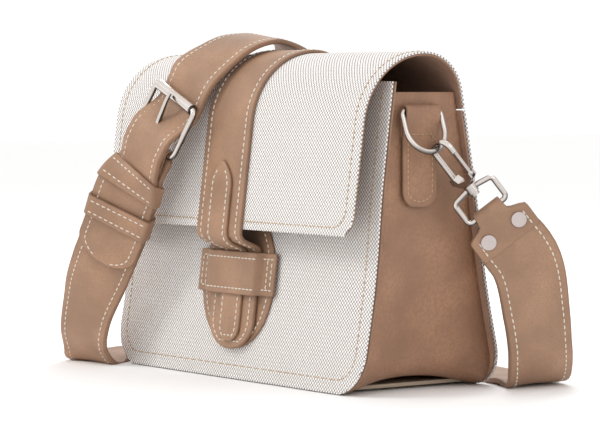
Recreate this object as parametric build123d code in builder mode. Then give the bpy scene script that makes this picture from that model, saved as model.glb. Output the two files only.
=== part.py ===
"""Structured crossbody bag: canvas panels and flap, leather gusset, closure strap, and a buckled
shoulder strap on two swivel snap hooks. Millimetres. X runs to the bag's right, Y to its back, Z up.
The origin is the middle of the base, on the surface that the bag stands on."""

import os
from math import asin, cos, degrees, radians, sin, tan

from build123d import *

# ---- driving dimensions -------------------------------------------------------------------------
BAG_WIDTH = 249.0  # front and back panels, edge to edge
BASE_DEPTH = 102.0  # outer face of the front panel to the outer face of the back panel, at the base
FRONT_HEIGHT = 172.0  # top edge of the front panel
BACK_HEIGHT = 156.0  # top edge of the back panel, where the flap starts
FRONT_LEAN = 7.2  # degrees that the front panel leans back
BACK_LEAN = 10.4  # degrees that the back panel leans forward
PANEL_CORNER = 24.0  # radius of the panels' lower corners
CANVAS = 1.2
BOARD = 1.0  # stiffener between canvas and lining
LINING = 1.2
SEAM_FLANGE = 4.0  # how far the panels stand out past the gusset at the sides
GUSSET_LEATHER = 1.5
GUSSET_HEIGHT = 166.0
BASE_BOARD = 2.0
SKIN_GAP = 0.3  # between soft parts on different bodies

FLAP_TOP = 188.5  # highest outer point of the flap
FLAP_HEM = 86.0  # height of the flap's lower edge
FLAP_HEM_Y = -57.5  # outer face of the flap at its lower edge
FLAP_LEAN = 7.2  # degrees; the same as the front panel, so the closure strap can slide up both
FLAP_BACK_RADIUS = 26.0
FLAP_FRONT_RADIUS = 44.0
FLAP_CORNER = 14.0

CLOSURE_WIDTH = 43.0
CLOSURE_LEATHER = 2.2
CLOSURE_TIP = 18.0  # height of the closure strap's rounded tip
CLOSURE_START_Y = 6.0  # where the closure strap starts on top of the flap
CLOSURE_BEND = 4.0  # where it steps from the hem back to the front panel
OVERLAY_WIDTH = 20.0
OVERLAY_TOP = 126.0
OVERLAY_LEATHER = 1.6
OVERLAY_INSET = 4.0  # from the closure strap's tip
PATCH_WIDTH = 70.0
PATCH_TOP = 98.0
PATCH_BOTTOM = 18.0
PATCH_LEATHER = 1.6
KEEPER_TOP = 74.0
KEEPER_HEIGHT = 24.0
KEEPER_WING = 11.0  # sewn-down end of the keeper, each side
KEEPER_LEATHER = 1.6
KEEPER_SIDE_GAP = 5.0  # room beside the closure strap inside the keeper
KEEPER_RISE = 4.0

TAB_WIDTH = 23.0
TAB_LEATHER = 1.6
TAB_BOTTOM = 103.0
TAB_Y = -9.0
TAB_JOIN = 15.0  # below the bar, where the two layers of the tab meet
RING_WIRE = 1.5  # radius
RING_WIDTH = 27.0  # centreline
RING_DROP = 24.0
RING_Z = 156.0
RING_SWING = 20.0  # degrees that the D-ring hangs out from the gusset
RING_CLEARANCE = 0.3  # between metal pieces that move on each other

HOOK_WIRE = 1.7
HOOK_WIDTH = 16.4  # outside
HOOK_AXIS = (0.235, 0.574, -0.783)  # the way the right-hand hook hangs
NOSE_LENGTH = 3.0
GATE_WIRE = 1.0
GATE_LENGTH = 15.0  # nose to pin
FORK_WIDTH = 5.4
FORK_SLOT = 2.8
PIN_RADIUS = 0.7
SHOULDER_DROP = 5.0
STEM_RADIUS = 1.7
SWIVEL_RADIUS = 3.2
COLLAR_LENGTH = 5.0
COLLAR_WALL = 0.4
HEAD_LENGTH = 1.6
LOOP_WIDTH_DIR = (0.453, 0.623, 0.630)  # across the strap at the right-hand hook
LOOP_WIRE = 1.6
LOOP_WIDTH = 26.0  # centreline
LOOP_DROP = 16.0

STRAP_WIDTH = 38.0
STRAP_LEATHER = 3.2
FOLD_LEATHER = 1.6  # thinned leather where a strap end folds round metal
END_LENGTH = 22.0  # from the swivel's loop to the end of the riveted part
END_NECK = 17.0
END_SHOULDER = 9.0
FLOOR_Z = 2.0  # strap centreline where it lies on the surface
RIVET_CAP = 4.6
RIVET_HEIGHT = 1.0
RIVET_SHANK = 1.6
RIVET_SPREAD = 21.0
RIVET_AT = 14.0

ROLLER_RADIUS = 3.2
ROLLER_LENGTH = 37.5
ROLLER_POINT = (-39.0, -62.5, 163.0)
BUCKLE_WIRE = 1.8
BUCKLE_LENGTH = 31.0  # roller bar to heel bar
BUCKLE_WIDTH = 44.0  # centreline
PRONG_WIRE = 1.2
PRONG_SLOT = 3.2
FOLD_LENGTH = 13.0
TAIL_SPARE = 4.0
TAIL_ROUND = 12.0
SLOT_AT = 19.0  # the hole in use, below the roller bar
SLOT_LENGTH = 15.0
SPARE_HOLES = 2
HOLE_STEP = 19.0
HOLE_RADIUS = 1.6
UPPER_LOOP = 56.0  # below the roller bar
LOWER_LOOP = 81.0
LOOP_SLACK = 0.7
LOOP_LEATHER = 1.6
LOOP_BAND = 13.0
RUN_STEPS = 24
BAND_STEP = 6.0

os.makedirs("parts", exist_ok=True)
PANEL = CANVAS + BOARD + LINING
made = []


def keep(part, name):
    """Label a finished piece and write it as one STEP file."""
    part.label = name
    export_step(part, f"parts/{name}.step")
    made.append(name)


def unit(v):
    return Vector(*v).normalized()


# ---- panels -------------------------------------------------------------------------------------
def panel_plane(front=True):
    """Outer face of the front or back panel: local X along the bag, local Y up the panel."""
    lean = radians(FRONT_LEAN if front else BACK_LEAN)
    side = -1 if front else 1
    return Plane(
        origin=(0, side * BASE_DEPTH / 2, 0),
        x_dir=(-side, 0, 0),
        z_dir=(0, side * cos(lean), sin(lean)),
    )


def panel_layer(plane, height, depth, thickness, inset=0.0):
    """One flat layer of a panel, from depth below the outer face, trimmed level at the base."""
    slope = height / cos(radians(FRONT_LEAN if plane.origin.Y < 0 else BACK_LEAN))
    width = BAG_WIDTH - 2 * inset
    with BuildPart() as layer:
        with BuildSketch(plane.offset(-depth)):
            with Locations((0, slope / 2 - 5)):
                Rectangle(width, slope + 10)
        extrude(amount=-thickness)
        with BuildSketch(Plane.XZ.offset(-BASE_DEPTH)):
            with BuildLine():
                half = width / 2
                FilletPolyline(
                    (-half, height), (-half, 0), (half, 0), (half, height),
                    radius=PANEL_CORNER - inset,
                )
                Line((half, height), (-half, height))
            make_face()
        extrude(amount=2 * BASE_DEPTH, mode=Mode.INTERSECT)
    return layer.part


front_plane = panel_plane(True)
back_plane = panel_plane(False)
for side_name, plane, height in (
    ("front", front_plane, FRONT_HEIGHT),
    ("back", back_plane, BACK_HEIGHT),
):
    keep(panel_layer(plane, height, 0, CANVAS), f"{side_name}_canvas")
    keep(panel_layer(plane, height - 4, CANVAS, BOARD, inset=5), f"{side_name}_board")
    keep(panel_layer(plane, height, CANVAS + BOARD, LINING, inset=0.5), f"{side_name}_lining")


def between_panels(depth):
    """The wedge of space between the two panels' faces at this depth, as a side outline in Y and Z."""
    front = -BASE_DEPTH / 2 + depth / cos(radians(FRONT_LEAN))
    back = BASE_DEPTH / 2 - depth / cos(radians(BACK_LEAN))
    top = GUSSET_HEIGHT
    return [
        (front, 0),
        (back, 0),
        (back - top * tan(radians(BACK_LEAN)), top),
        (front + top * tan(radians(FRONT_LEAN)), top),
    ]


def wedge(depth):
    with BuildPart() as space:
        with BuildSketch(Plane.YZ.offset(-BAG_WIDTH / 2)):
            Polygon(*between_panels(depth), align=None)
        extrude(amount=BAG_WIDTH)
    return space.part


# ---- gusset: one strip of leather, up the left side, along the base and up the right -------------
with BuildPart() as gusset:
    half = BAG_WIDTH / 2 - SEAM_FLANGE
    with BuildSketch(Plane.XZ.offset(-BASE_DEPTH / 2)):
        with BuildLine():
            FilletPolyline(
                (-half, GUSSET_HEIGHT), (-half, 0), (half, 0), (half, GUSSET_HEIGHT),
                radius=PANEL_CORNER - SEAM_FLANGE,
            )
            offset(amount=GUSSET_LEATHER, side=Side.LEFT)
        make_face()
    extrude(amount=BASE_DEPTH)
    add(wedge(PANEL), mode=Mode.INTERSECT)
keep(gusset.part, "gusset")

with BuildPart() as base_board:
    inner = BAG_WIDTH - 2 * PANEL_CORNER
    with BuildSketch(Plane.XY.offset(GUSSET_LEATHER)):
        Rectangle(inner, BASE_DEPTH)
    extrude(amount=BASE_BOARD)
    add(wedge(PANEL + 1), mode=Mode.INTERSECT)
keep(base_board.part, "base_board")


# ---- flap ---------------------------------------------------------------------------------------
def flap_side_line(start_z, end_z):
    """Outer side outline of the flap: up from the back panel, over, and down to the hem."""
    back_foot = BASE_DEPTH / 2 - start_z * tan(radians(BACK_LEAN))
    back_top = BASE_DEPTH / 2 - FLAP_TOP * tan(radians(BACK_LEAN))
    slope = tan(radians(FLAP_LEAN))
    front_top = FLAP_HEM_Y + (FLAP_TOP - FLAP_HEM) * slope
    front_foot = FLAP_HEM_Y + (end_z - FLAP_HEM) * slope
    return [(back_foot, start_z), (back_top, FLAP_TOP), (front_top, FLAP_TOP), (front_foot, end_z)]


FLAP_RADII = (FLAP_BACK_RADIUS, FLAP_FRONT_RADIUS)


def shifted(outline, radii, depth):
    """The same outline and corner radii, moved sideways: to the left by a positive depth."""
    points = [Vector(*p) for p in outline]
    runs = [(q - p).normalized() for p, q in zip(points, points[1:])]
    lefts = [Vector(-run.Y, run.X) for run in runs]
    moved = [points[0] + lefts[0] * depth]
    new_radii = []
    for corner, radius, before, after in zip(points[1:], radii, lefts, lefts[1:]):
        moved.append(corner + (before + after) * (depth / (1 + before.dot(after))))
        turns_left = before.X * after.Y - before.Y * after.X > 0
        new_radii.append(radius - depth if turns_left else radius + depth)
    moved.append(points[-1] + lefts[-1] * depth)
    return [(p.X, p.Y) for p in moved], tuple(new_radii)


def over_the_top(width, depth, thickness, outline, radii):
    """A sheet that follows a side outline, between two depths under it.
    A negative depth lies on top of the outline."""
    outer, outer_radii = shifted(outline, radii, depth)
    inner, inner_radii = shifted(outline, radii, depth + thickness)
    with BuildPart() as sheet:
        with BuildSketch(Plane.YZ.offset(-width / 2)):
            with BuildLine():
                FilletPolyline(*outer, radius=outer_radii)
                FilletPolyline(*inner, radius=inner_radii)
                Line(outer[0], inner[0])
                Line(outer[-1], inner[-1])
            make_face()
        extrude(amount=width)
    return sheet.part


FLAP_START = BACK_HEIGHT + 1.5
HINGE_Z = BACK_HEIGHT + 0.7


def flap_layer(depth, thickness, inset):
    sheet = over_the_top(
        BAG_WIDTH - 2 * inset, depth, thickness, flap_side_line(FLAP_START, FLAP_HEM), FLAP_RADII,
    )
    half = BAG_WIDTH / 2 - inset
    with BuildPart() as layer:
        add(sheet)
        with BuildSketch(Plane.XZ.offset(-BASE_DEPTH)):
            with BuildLine():
                FilletPolyline(
                    (-half, FLAP_TOP + 10), (-half, FLAP_HEM), (half, FLAP_HEM), (half, FLAP_TOP + 10),
                    radius=FLAP_CORNER,
                )
                Line((half, FLAP_TOP + 10), (-half, FLAP_TOP + 10))
            make_face()
        extrude(amount=2 * BASE_DEPTH, mode=Mode.INTERSECT)
    return layer.part


keep(flap_layer(0, CANVAS, 0), "flap_canvas")
keep(flap_layer(CANVAS, LINING, 0.5), "flap_lining")

# ---- closure strap, its overlay, and the patch and keeper that it tucks into ---------------------
def tongue_point(z):
    """Inner face of the closure strap where it lies against the patch on the front panel."""
    stand_off = (PATCH_LEATHER + SKIN_GAP) / cos(radians(FRONT_LEAN))
    return (-BASE_DEPTH / 2 + z * tan(radians(FRONT_LEAN)) - stand_off, z)


closure_line = flap_side_line(FLAP_START, FLAP_HEM - SKIN_GAP - 0.7 * CLOSURE_BEND) + [
    tongue_point(KEEPER_TOP + 0.75 * CLOSURE_BEND),
    tongue_point(CLOSURE_TIP),
]
closure_radii = FLAP_RADII + (CLOSURE_BEND, CLOSURE_BEND)
closure = over_the_top(CLOSURE_WIDTH, -CLOSURE_LEATHER, CLOSURE_LEATHER, closure_line, closure_radii)
with BuildPart() as closure_strap:
    add(closure)
    with BuildSketch(Plane.XZ.offset(-CLOSURE_START_Y)):
        with BuildLine():
            half = CLOSURE_WIDTH / 2
            FilletPolyline(
                (-half, FLAP_TOP + 10), (-half, CLOSURE_TIP), (half, CLOSURE_TIP), (half, FLAP_TOP + 10),
                radius=half * 0.8,
            )
            Line((half, FLAP_TOP + 10), (-half, FLAP_TOP + 10))
        make_face()
    extrude(amount=BASE_DEPTH, mode=Mode.INTERSECT)
keep(closure_strap.part, "closure_strap")

with BuildPart() as overlay:
    add(over_the_top(
        OVERLAY_WIDTH, -CLOSURE_LEATHER - OVERLAY_LEATHER, OVERLAY_LEATHER, closure_line, closure_radii,
    ))
    with BuildSketch(Plane.XZ.offset(-BASE_DEPTH)):
        half = OVERLAY_WIDTH / 2
        low = CLOSURE_TIP + OVERLAY_INSET
        with BuildLine():
            Polyline(
                (-half, low + half), (-half, OVERLAY_TOP - half), (0, OVERLAY_TOP),
                (half, OVERLAY_TOP - half), (half, low + half),
            )
            ThreePointArc((half, low + half), (0, low), (-half, low + half))
        make_face()
    extrude(amount=2 * BASE_DEPTH, mode=Mode.INTERSECT)
keep(overlay.part, "closure_overlay")

# The patch and keeper lie on the front panel: local X along the bag, local Y up the panel.
with BuildPart() as patch:
    with BuildSketch(front_plane):
        with Locations((0, (PATCH_TOP + PATCH_BOTTOM) / 2)):
            RectangleRounded(PATCH_WIDTH, PATCH_TOP - PATCH_BOTTOM, PATCH_WIDTH * 0.49)
    extrude(amount=PATCH_LEATHER)
keep(patch.part, "closure_patch")

keeper_inside = PATCH_LEATHER + CLOSURE_LEATHER + OVERLAY_LEATHER + 3 * SKIN_GAP
keeper_span = CLOSURE_WIDTH + 2 * KEEPER_SIDE_GAP
with BuildPart() as keeper:
    with BuildSketch(Plane.XY.offset(KEEPER_TOP - KEEPER_HEIGHT)):
        with BuildLine():
            FilletPolyline(
                (-keeper_span / 2 - KEEPER_WING, PATCH_LEATHER),
                (-keeper_span / 2, PATCH_LEATHER),
                (-keeper_span / 2 + KEEPER_RISE, keeper_inside),
                (keeper_span / 2 - KEEPER_RISE, keeper_inside),
                (keeper_span / 2, PATCH_LEATHER),
                (keeper_span / 2 + KEEPER_WING, PATCH_LEATHER),
                radius=KEEPER_RISE / 3,
            )
            offset(amount=KEEPER_LEATHER, side=Side.LEFT)
        make_face()
    extrude(amount=KEEPER_HEIGHT)
keeper_place = Location(
    Plane(origin=front_plane.origin, x_dir=(-1, 0, 0), z_dir=front_plane.y_dir)
)
keep(keeper.part.moved(keeper_place), "closure_keeper")

# ---- ring tabs, D-rings and snap hooks ------------------------------------------------------------
GUSSET_X = BAG_WIDTH / 2 - SEAM_FLANGE
BAR_ROOM = RING_WIRE + RING_CLEARANCE
BAR_X = GUSSET_X + TAB_LEATHER + BAR_ROOM
ring_down = Vector(sin(radians(RING_SWING)), 0, -cos(radians(RING_SWING)))
ring_half = RING_WIDTH / 2
hook_axis = unit(HOOK_AXIS)
hook_turn = degrees(asin(hook_axis.Y))
bar_centre = Vector(BAR_X, TAB_Y, RING_Z)
hook_point = (
    bar_centre
    + ring_down * (RING_DROP - ring_half + ring_half * cos(radians(hook_turn)))
    + Vector(0, ring_half * sin(radians(hook_turn)), 0)
)
ring_tangent = ring_down * -sin(radians(hook_turn)) + Vector(0, cos(radians(hook_turn)), 0)
loop_width_dir = unit(LOOP_WIDTH_DIR)
loop_width_dir = (loop_width_dir - hook_axis * loop_width_dir.dot(hook_axis)).normalized()


def both_sides(part, name):
    """Write the right-hand piece and its mirror image on the left."""
    keep(part, f"{name}_right")
    keep(part.mirror(Plane.YZ), f"{name}_left")


with BuildPart() as tab:
    with BuildSketch(Plane.XZ.offset(-TAB_Y - TAB_WIDTH / 2)):
        low = TAB_BOTTOM
        outer_x = GUSSET_X + 2 * TAB_LEATHER
        with BuildLine():
            Polyline(
                (GUSSET_X, RING_Z), (GUSSET_X, low), (outer_x, low), (outer_x, RING_Z - TAB_JOIN),
                (BAR_X + BAR_ROOM + TAB_LEATHER, RING_Z),
            )
            ThreePointArc(
                (BAR_X + BAR_ROOM + TAB_LEATHER, RING_Z),
                (BAR_X, RING_Z + BAR_ROOM + TAB_LEATHER),
                (GUSSET_X, RING_Z),
            )
        make_face()
        with Locations((BAR_X, RING_Z)):
            Circle(BAR_ROOM, mode=Mode.SUBTRACT)
        Polygon(
            (BAR_X - BAR_ROOM, RING_Z), (BAR_X + BAR_ROOM, RING_Z),
            (GUSSET_X + TAB_LEATHER, RING_Z - TAB_JOIN), align=None, mode=Mode.SUBTRACT,
        )
    extrude(amount=TAB_WIDTH)
both_sides(tab.part, "ring_tab")

ring_plane = Plane(origin=bar_centre, x_dir=(0, 1, 0), z_dir=Vector(0, 1, 0).cross(-ring_down))
with BuildPart() as d_ring:
    straight = RING_DROP - ring_half
    with BuildLine(ring_plane) as ring_path:
        FilletPolyline(
            (ring_half, -straight), (ring_half, 0), (-ring_half, 0), (-ring_half, -straight),
            radius=2 * RING_WIRE,
        )
        ThreePointArc((-ring_half, -straight), (0, -RING_DROP), (ring_half, -straight))
    with BuildSketch(Plane(origin=ring_path.line @ 0, z_dir=ring_path.line % 0)):
        Circle(RING_WIRE)
    sweep()
both_sides(d_ring.part, "d_ring")

# Snap hook: local Y runs back up the hook's axis, local X is the way the hook opens.
hook_plane = Plane(
    origin=hook_point, x_dir=hook_axis.cross(ring_tangent), z_dir=-ring_tangent
)
hook_mid = (HOOK_WIDTH / 2) - HOOK_WIRE
arc_y = RING_WIRE + RING_CLEARANCE + HOOK_WIRE - hook_mid
nose_y = arc_y - NOSE_LENGTH
pin_y = nose_y - GATE_LENGTH
shoulder_y = pin_y - SHOULDER_DROP
collar_top = shoulder_y - RING_CLEARANCE
collar_low = collar_top - COLLAR_LENGTH
stem_low = collar_low - RING_CLEARANCE - HEAD_LENGTH
gate_x = hook_mid
with BuildPart() as hook:
    with BuildLine(hook_plane) as hook_path:
        Polyline((-hook_mid, pin_y), (-hook_mid, arc_y))
        ThreePointArc((-hook_mid, arc_y), (0, arc_y + hook_mid), (hook_mid, arc_y))
        Line((hook_mid, arc_y), (hook_mid, nose_y))
    with BuildSketch(Plane(origin=hook_path.line @ 0, z_dir=hook_path.line % 0)):
        Circle(HOOK_WIRE)
    sweep()
    with BuildSketch(hook_plane.offset(-FORK_WIDTH / 2)):
        Polygon(
            (-hook_mid - HOOK_WIRE, pin_y + HOOK_WIRE),
            (-hook_mid + HOOK_WIRE, pin_y + HOOK_WIRE),
            (-hook_mid + 2 * HOOK_WIRE, pin_y - HOOK_WIRE),
            (hook_mid - 2 * HOOK_WIRE, pin_y - HOOK_WIRE),
            (gate_x - HOOK_WIRE, pin_y + HOOK_WIRE),
            (gate_x + HOOK_WIRE, pin_y + HOOK_WIRE),
            (gate_x + HOOK_WIRE, pin_y - HOOK_WIRE),
            (SWIVEL_RADIUS, shoulder_y),
            (-SWIVEL_RADIUS, shoulder_y),
            (-hook_mid - HOOK_WIRE, pin_y - HOOK_WIRE),
            align=None,
        )
    extrude(amount=FORK_WIDTH)
    with BuildSketch(hook_plane.offset(-FORK_SLOT / 2)):
        with Locations((gate_x, pin_y)):
            Rectangle(3 * HOOK_WIRE, 2 * FORK_SLOT)
    extrude(amount=FORK_SLOT, mode=Mode.SUBTRACT)
    with BuildSketch(hook_plane.offset(-FORK_WIDTH / 2)):
        with Locations((gate_x, pin_y)):
            Circle(PIN_RADIUS)
    extrude(amount=FORK_WIDTH, mode=Mode.SUBTRACT)
    stem_plane = Plane(origin=hook_plane.from_local_coords((0, stem_low, 0)), z_dir=-hook_axis)
    with BuildSketch(stem_plane):
        Circle(SWIVEL_RADIUS - 0.5)
    extrude(amount=HEAD_LENGTH)
    with BuildSketch(stem_plane):
        Circle(STEM_RADIUS)
    extrude(amount=shoulder_y - stem_low + STEM_RADIUS)
both_sides(hook.part, "snap_hook")

with BuildPart() as gate_pin:
    with BuildSketch(hook_plane.offset(-FORK_WIDTH / 2)):
        with Locations((gate_x, pin_y)):
            Circle(PIN_RADIUS)
    extrude(amount=FORK_WIDTH)
both_sides(gate_pin.part, "gate_pin")

with BuildPart() as gate:
    gate_width = FORK_SLOT - 2 * RING_CLEARANCE
    with BuildSketch(hook_plane.offset(-gate_width / 2)):
        with Locations((gate_x, pin_y)):
            Circle(HOOK_WIRE)
        with Locations((gate_x, (pin_y + nose_y - RING_CLEARANCE) / 2)):
            Rectangle(2 * GATE_WIRE, nose_y - RING_CLEARANCE - pin_y)
        with Locations((gate_x, pin_y)):
            Circle(PIN_RADIUS + RING_CLEARANCE, mode=Mode.SUBTRACT)
    extrude(amount=gate_width)
both_sides(gate.part, "snap_gate")

# Swivel eye: a collar round the hook's stem, and the wire loop that the strap end folds through.
eye_plane = Plane(
    origin=hook_plane.from_local_coords((0, collar_low, 0)),
    x_dir=loop_width_dir,
    z_dir=loop_width_dir.cross(-hook_axis),
)
loop_top = COLLAR_LENGTH / 2
loop_low = loop_top - LOOP_DROP
loop_half = LOOP_WIDTH / 2
with BuildPart() as eye:
    collar_plane = Plane(origin=eye_plane.origin, z_dir=-hook_axis)
    with BuildSketch(collar_plane):
        Circle(SWIVEL_RADIUS + COLLAR_WALL)
    extrude(amount=COLLAR_LENGTH)
    with BuildLine(eye_plane) as loop_path:
        FilletPolyline(
            (SWIVEL_RADIUS, loop_top), (loop_half, loop_top - LOOP_WIRE), (loop_half, loop_low),
            (-loop_half, loop_low), (-loop_half, loop_top - LOOP_WIRE), (-SWIVEL_RADIUS, loop_top),
            radius=1.6 * LOOP_WIRE,
        )
    with BuildSketch(Plane(origin=loop_path.line @ 0, z_dir=loop_path.line % 0)):
        Circle(LOOP_WIRE)
    sweep()
    with BuildSketch(collar_plane):
        Circle(STEM_RADIUS + RING_CLEARANCE)
    extrude(amount=COLLAR_LENGTH, mode=Mode.SUBTRACT)
both_sides(eye.part, "swivel_eye")
loop_centre = eye_plane.from_local_coords((0, loop_low, 0))


# ---- shoulder strap -------------------------------------------------------------------------------
class Run:
    """A smooth centreline through control points, with the direction across the strap at each."""

    def __init__(self, stations):
        self.points = [Vector(*point) for point, across in stations]
        self.across = [unit(across) for point, across in stations]
        first = self.points[0] * 2 - self.points[1]
        last = self.points[-1] * 2 - self.points[-2]
        self.padded = [first, *self.points, last]
        self.reach = [0.0]
        for index in range(len(self.points) - 1):
            marks = [self.point(index + step / RUN_STEPS) for step in range(RUN_STEPS + 1)]
            chord = sum((b - a).length for a, b in zip(marks, marks[1:]))
            self.reach.append(self.reach[-1] + chord)

    def point(self, u):
        """The point at control number u, which may fall between two control points."""
        index = min(int(u), len(self.points) - 2)
        f = u - index
        a, b, c, d = self.padded[index:index + 4]
        before, here, after = (b - a).length, (c - b).length, (d - c).length
        chord = (c - b) / here
        leave = ((b - a) * (here / before) + chord * before) / (before + here)
        arrive = (chord * after + (d - c) * (here / after)) / (here + after)
        return (
            b * (1 - 3 * f**2 + 2 * f**3)
            + leave * (here * (f - 2 * f**2 + f**3))
            + c * (3 * f**2 - 2 * f**3)
            + arrive * (here * (f**3 - f**2))
        )

    def control(self, s):
        """Control number at a length s along the run."""
        for index, (low, high) in enumerate(zip(self.reach, self.reach[1:])):
            if s <= high or index == len(self.reach) - 2:
                return index + (s - low) / (high - low)

    def plane(self, s, lift=0.0):
        """Cross-section plane at s: local X across the strap, local Y out of its outer face."""
        u = self.control(s)
        index = min(int(u), len(self.points) - 2)
        along = (self.point(u + 0.02) - self.point(max(u - 0.02, 0))).normalized()
        across = self.across[index] * (1 - u + index) + self.across[index + 1] * (u - index)
        across = (across - along * across.dot(along)).normalized()
        outward = along.cross(across)
        return Plane(origin=self.point(u) + outward * lift, x_dir=across, z_dir=along)


def band(run, start, end, width, thickness, lift=None):
    """A flat strap along a run, lifted out of its centreline by lift(s)."""
    count = max(2, round((end - start) / BAND_STEP))
    with BuildPart() as strap:
        for step in range(count + 1):
            s = start + (end - start) * step / count
            with BuildSketch(run.plane(s, lift(s) if lift else 0.0)):
                Rectangle(width, thickness)
        loft(ruled=True)
    return strap.part


def ease(s, marks):
    """Smooth value between (s, value) marks."""
    if s <= marks[0][0]:
        return marks[0][1]
    for (s0, v0), (s1, v1) in zip(marks, marks[1:]):
        if s <= s1:
            f = (s - s0) / (s1 - s0)
            return v0 + (v1 - v0) * f * f * (3 - 2 * f)
    return marks[-1][1]


end_along = hook_axis
end_across = loop_width_dir


def along_end(distance):
    return loop_centre + end_along * distance


def mirrored(v):
    return Vector(-v.X, v.Y, v.Z)


end_steps = [along_end(END_LENGTH * k / 2) for k in range(4)]
right_side = [(p, end_across) for p in end_steps] + [
    ((151, 52, 44), (0.30, 0.95, 0.10)),
    ((150, 56, 20), (0.15, 0.98, 0.0)),
    ((138, 65, 5), (0.0, 1.0, 0.0)),
    ((114, 74, FLOOR_Z), (0.0, 1.0, 0.0)),
    ((40, 80, FLOOR_Z), (0.0, 1.0, 0.0)),
    ((-40, 83, FLOOR_Z), (0.0, 1.0, 0.0)),
    ((-138, 82, FLOOR_Z), (0.0, 1.0, 0.0)),
]
back_leg = [
    ((-160, 83, 12), (0.0, 1.0, 0.0)),
    ((-164, 84, 38), (0.0, 1.0, 0.0)),
    ((-146, 83, 78), (0.35, 0.90, -0.2)),
    ((-108, 67, 124), (0.65, 0.65, -0.35)),
    ((-68, 46, 168), (0.87, 0.2, -0.45)),
    ((-38, 22, 191), (0.98, 0.0, -0.18)),
    ((-32, -8, 198), (1.0, -0.05, -0.1)),
    ((-31, -36, 191), (0.97, -0.03, -0.2)),
]
buckle_across = (0.914, 0.0, -0.403)
buckle_along = unit((-0.38, -0.27, -0.88))
front_leg = [
    (Vector(*ROLLER_POINT) + buckle_along * (BUCKLE_LENGTH * k / 2), buckle_across)
    for k in (-1, 0, 1, 2, 3)
] + [
    ((-64, -80, 108), (0.74, 0.55, -0.38)),
    ((-77.5, -80, 86), (0.74, 0.56, -0.35)),
    ((-93.5, -81, 62), (0.80, 0.52, -0.30)),
]
front_foot = [
    ((-111, -79, 38), (0.93, 0.25, -0.25)),
    ((-121, -76, 15), (0.97, 0.15, -0.15)),
    ((-128, -66, 3.2), (0.98, 0.18, -0.05)),
    ((-143, -45, FLOOR_Z), (0.95, 0.30, 0.0)),
]
left_side = [
    ((-154, -16, FLOOR_Z), (0.96, 0.20, 0.0)),
    ((-162, 22, 6), (1.0, 0.0, 0.1)),
    ((-162, 50, 30), (0.93, -0.30, -0.2)),
] + [(mirrored(p), mirrored(end_across) * -1) for p in reversed(end_steps)]

long_run = Run(right_side + back_leg + front_leg)
buckle_run = Run(back_leg[-1:] + front_leg + front_foot + left_side)
long_foot = long_run.reach[len(right_side) - 1]
roller_long = long_run.reach[len(right_side) + len(back_leg) + 1]
roller_s = buckle_run.reach[2]
heel_s = roller_s + BUCKLE_LENGTH
buckle_foot = buckle_run.reach[len(front_leg) + 3]

# Heights out of the buckle's own centreline, along the front run.
HEEL_ROOM = BUCKLE_WIRE + RING_CLEARANCE
half_strap = STRAP_LEATHER / 2
behind_roller = -(ROLLER_RADIUS + SKIN_GAP + half_strap)
over_heel = HEEL_ROOM + FOLD_LEATHER + SKIN_GAP + half_strap
below_fold = -HEEL_ROOM - FOLD_LEATHER + half_strap
on_top = below_fold + STRAP_LEATHER + SKIN_GAP


def tongue_lift(s):
    """Behind the roller, up through the frame, over the heel bar and down on the buckle strap."""
    marks = [
        (-60, 0.0), (-6, behind_roller), (4, behind_roller),
        (BUCKLE_LENGTH - 5, over_heel), (BUCKLE_LENGTH + 3, over_heel),
        (BUCKLE_LENGTH + FOLD_LENGTH + 8, on_top),
    ]
    return ease(s - roller_long, marks)


def across_plane(run, s, lift=0.0):
    """Plane of the strap at s: local X across it, local Y back along it, normal out of its face."""
    section = run.plane(s, lift)
    return Plane(origin=section.origin, x_dir=section.x_dir, z_dir=section.y_dir)


def rounded_tail(strap, plane, reach):
    """Round the end of a strap, whose last reach millimetres start at the plane."""
    half = STRAP_WIDTH / 2
    with BuildPart() as shaped:
        add(strap)
        with BuildSketch(plane.offset(-3 * STRAP_LEATHER)):
            with BuildLine():
                Polyline((half, 0), (half + 1, 0), (half + 1, -reach - 5), (-half - 1, -reach - 5),
                         (-half - 1, 0), (-half, 0))
                ThreePointArc((-half, 0), (0, -reach), (half, 0))
            make_face()
        extrude(amount=6 * STRAP_LEATHER, mode=Mode.SUBTRACT)
    return shaped.part


tail_end = long_run.reach[-1] - TAIL_SPARE
slot_at = roller_long + SLOT_AT
with BuildPart() as strap_drape:
    drape = band(long_run, long_foot + SKIN_GAP, tail_end, STRAP_WIDTH, STRAP_LEATHER, tongue_lift)
    tail_at = tail_end - TAIL_ROUND
    add(rounded_tail(drape, across_plane(long_run, tail_at, on_top), TAIL_ROUND))
    with BuildSketch(across_plane(long_run, slot_at, -2 * ROLLER_RADIUS)):
        with Locations((0, 0, 0)):
            SlotOverall(SLOT_LENGTH, PRONG_SLOT, rotation=90)
    extrude(amount=6 * ROLLER_RADIUS, mode=Mode.SUBTRACT)
    for hole in range(SPARE_HOLES):
        s = slot_at + BUCKLE_LENGTH / 2 + HOLE_STEP * (hole + 1)
        with BuildSketch(across_plane(long_run, s, on_top - STRAP_LEATHER)):
            Circle(HOLE_RADIUS)
        extrude(amount=2 * STRAP_LEATHER, mode=Mode.SUBTRACT)
keep(strap_drape.part, "long_strap_drape")

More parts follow.
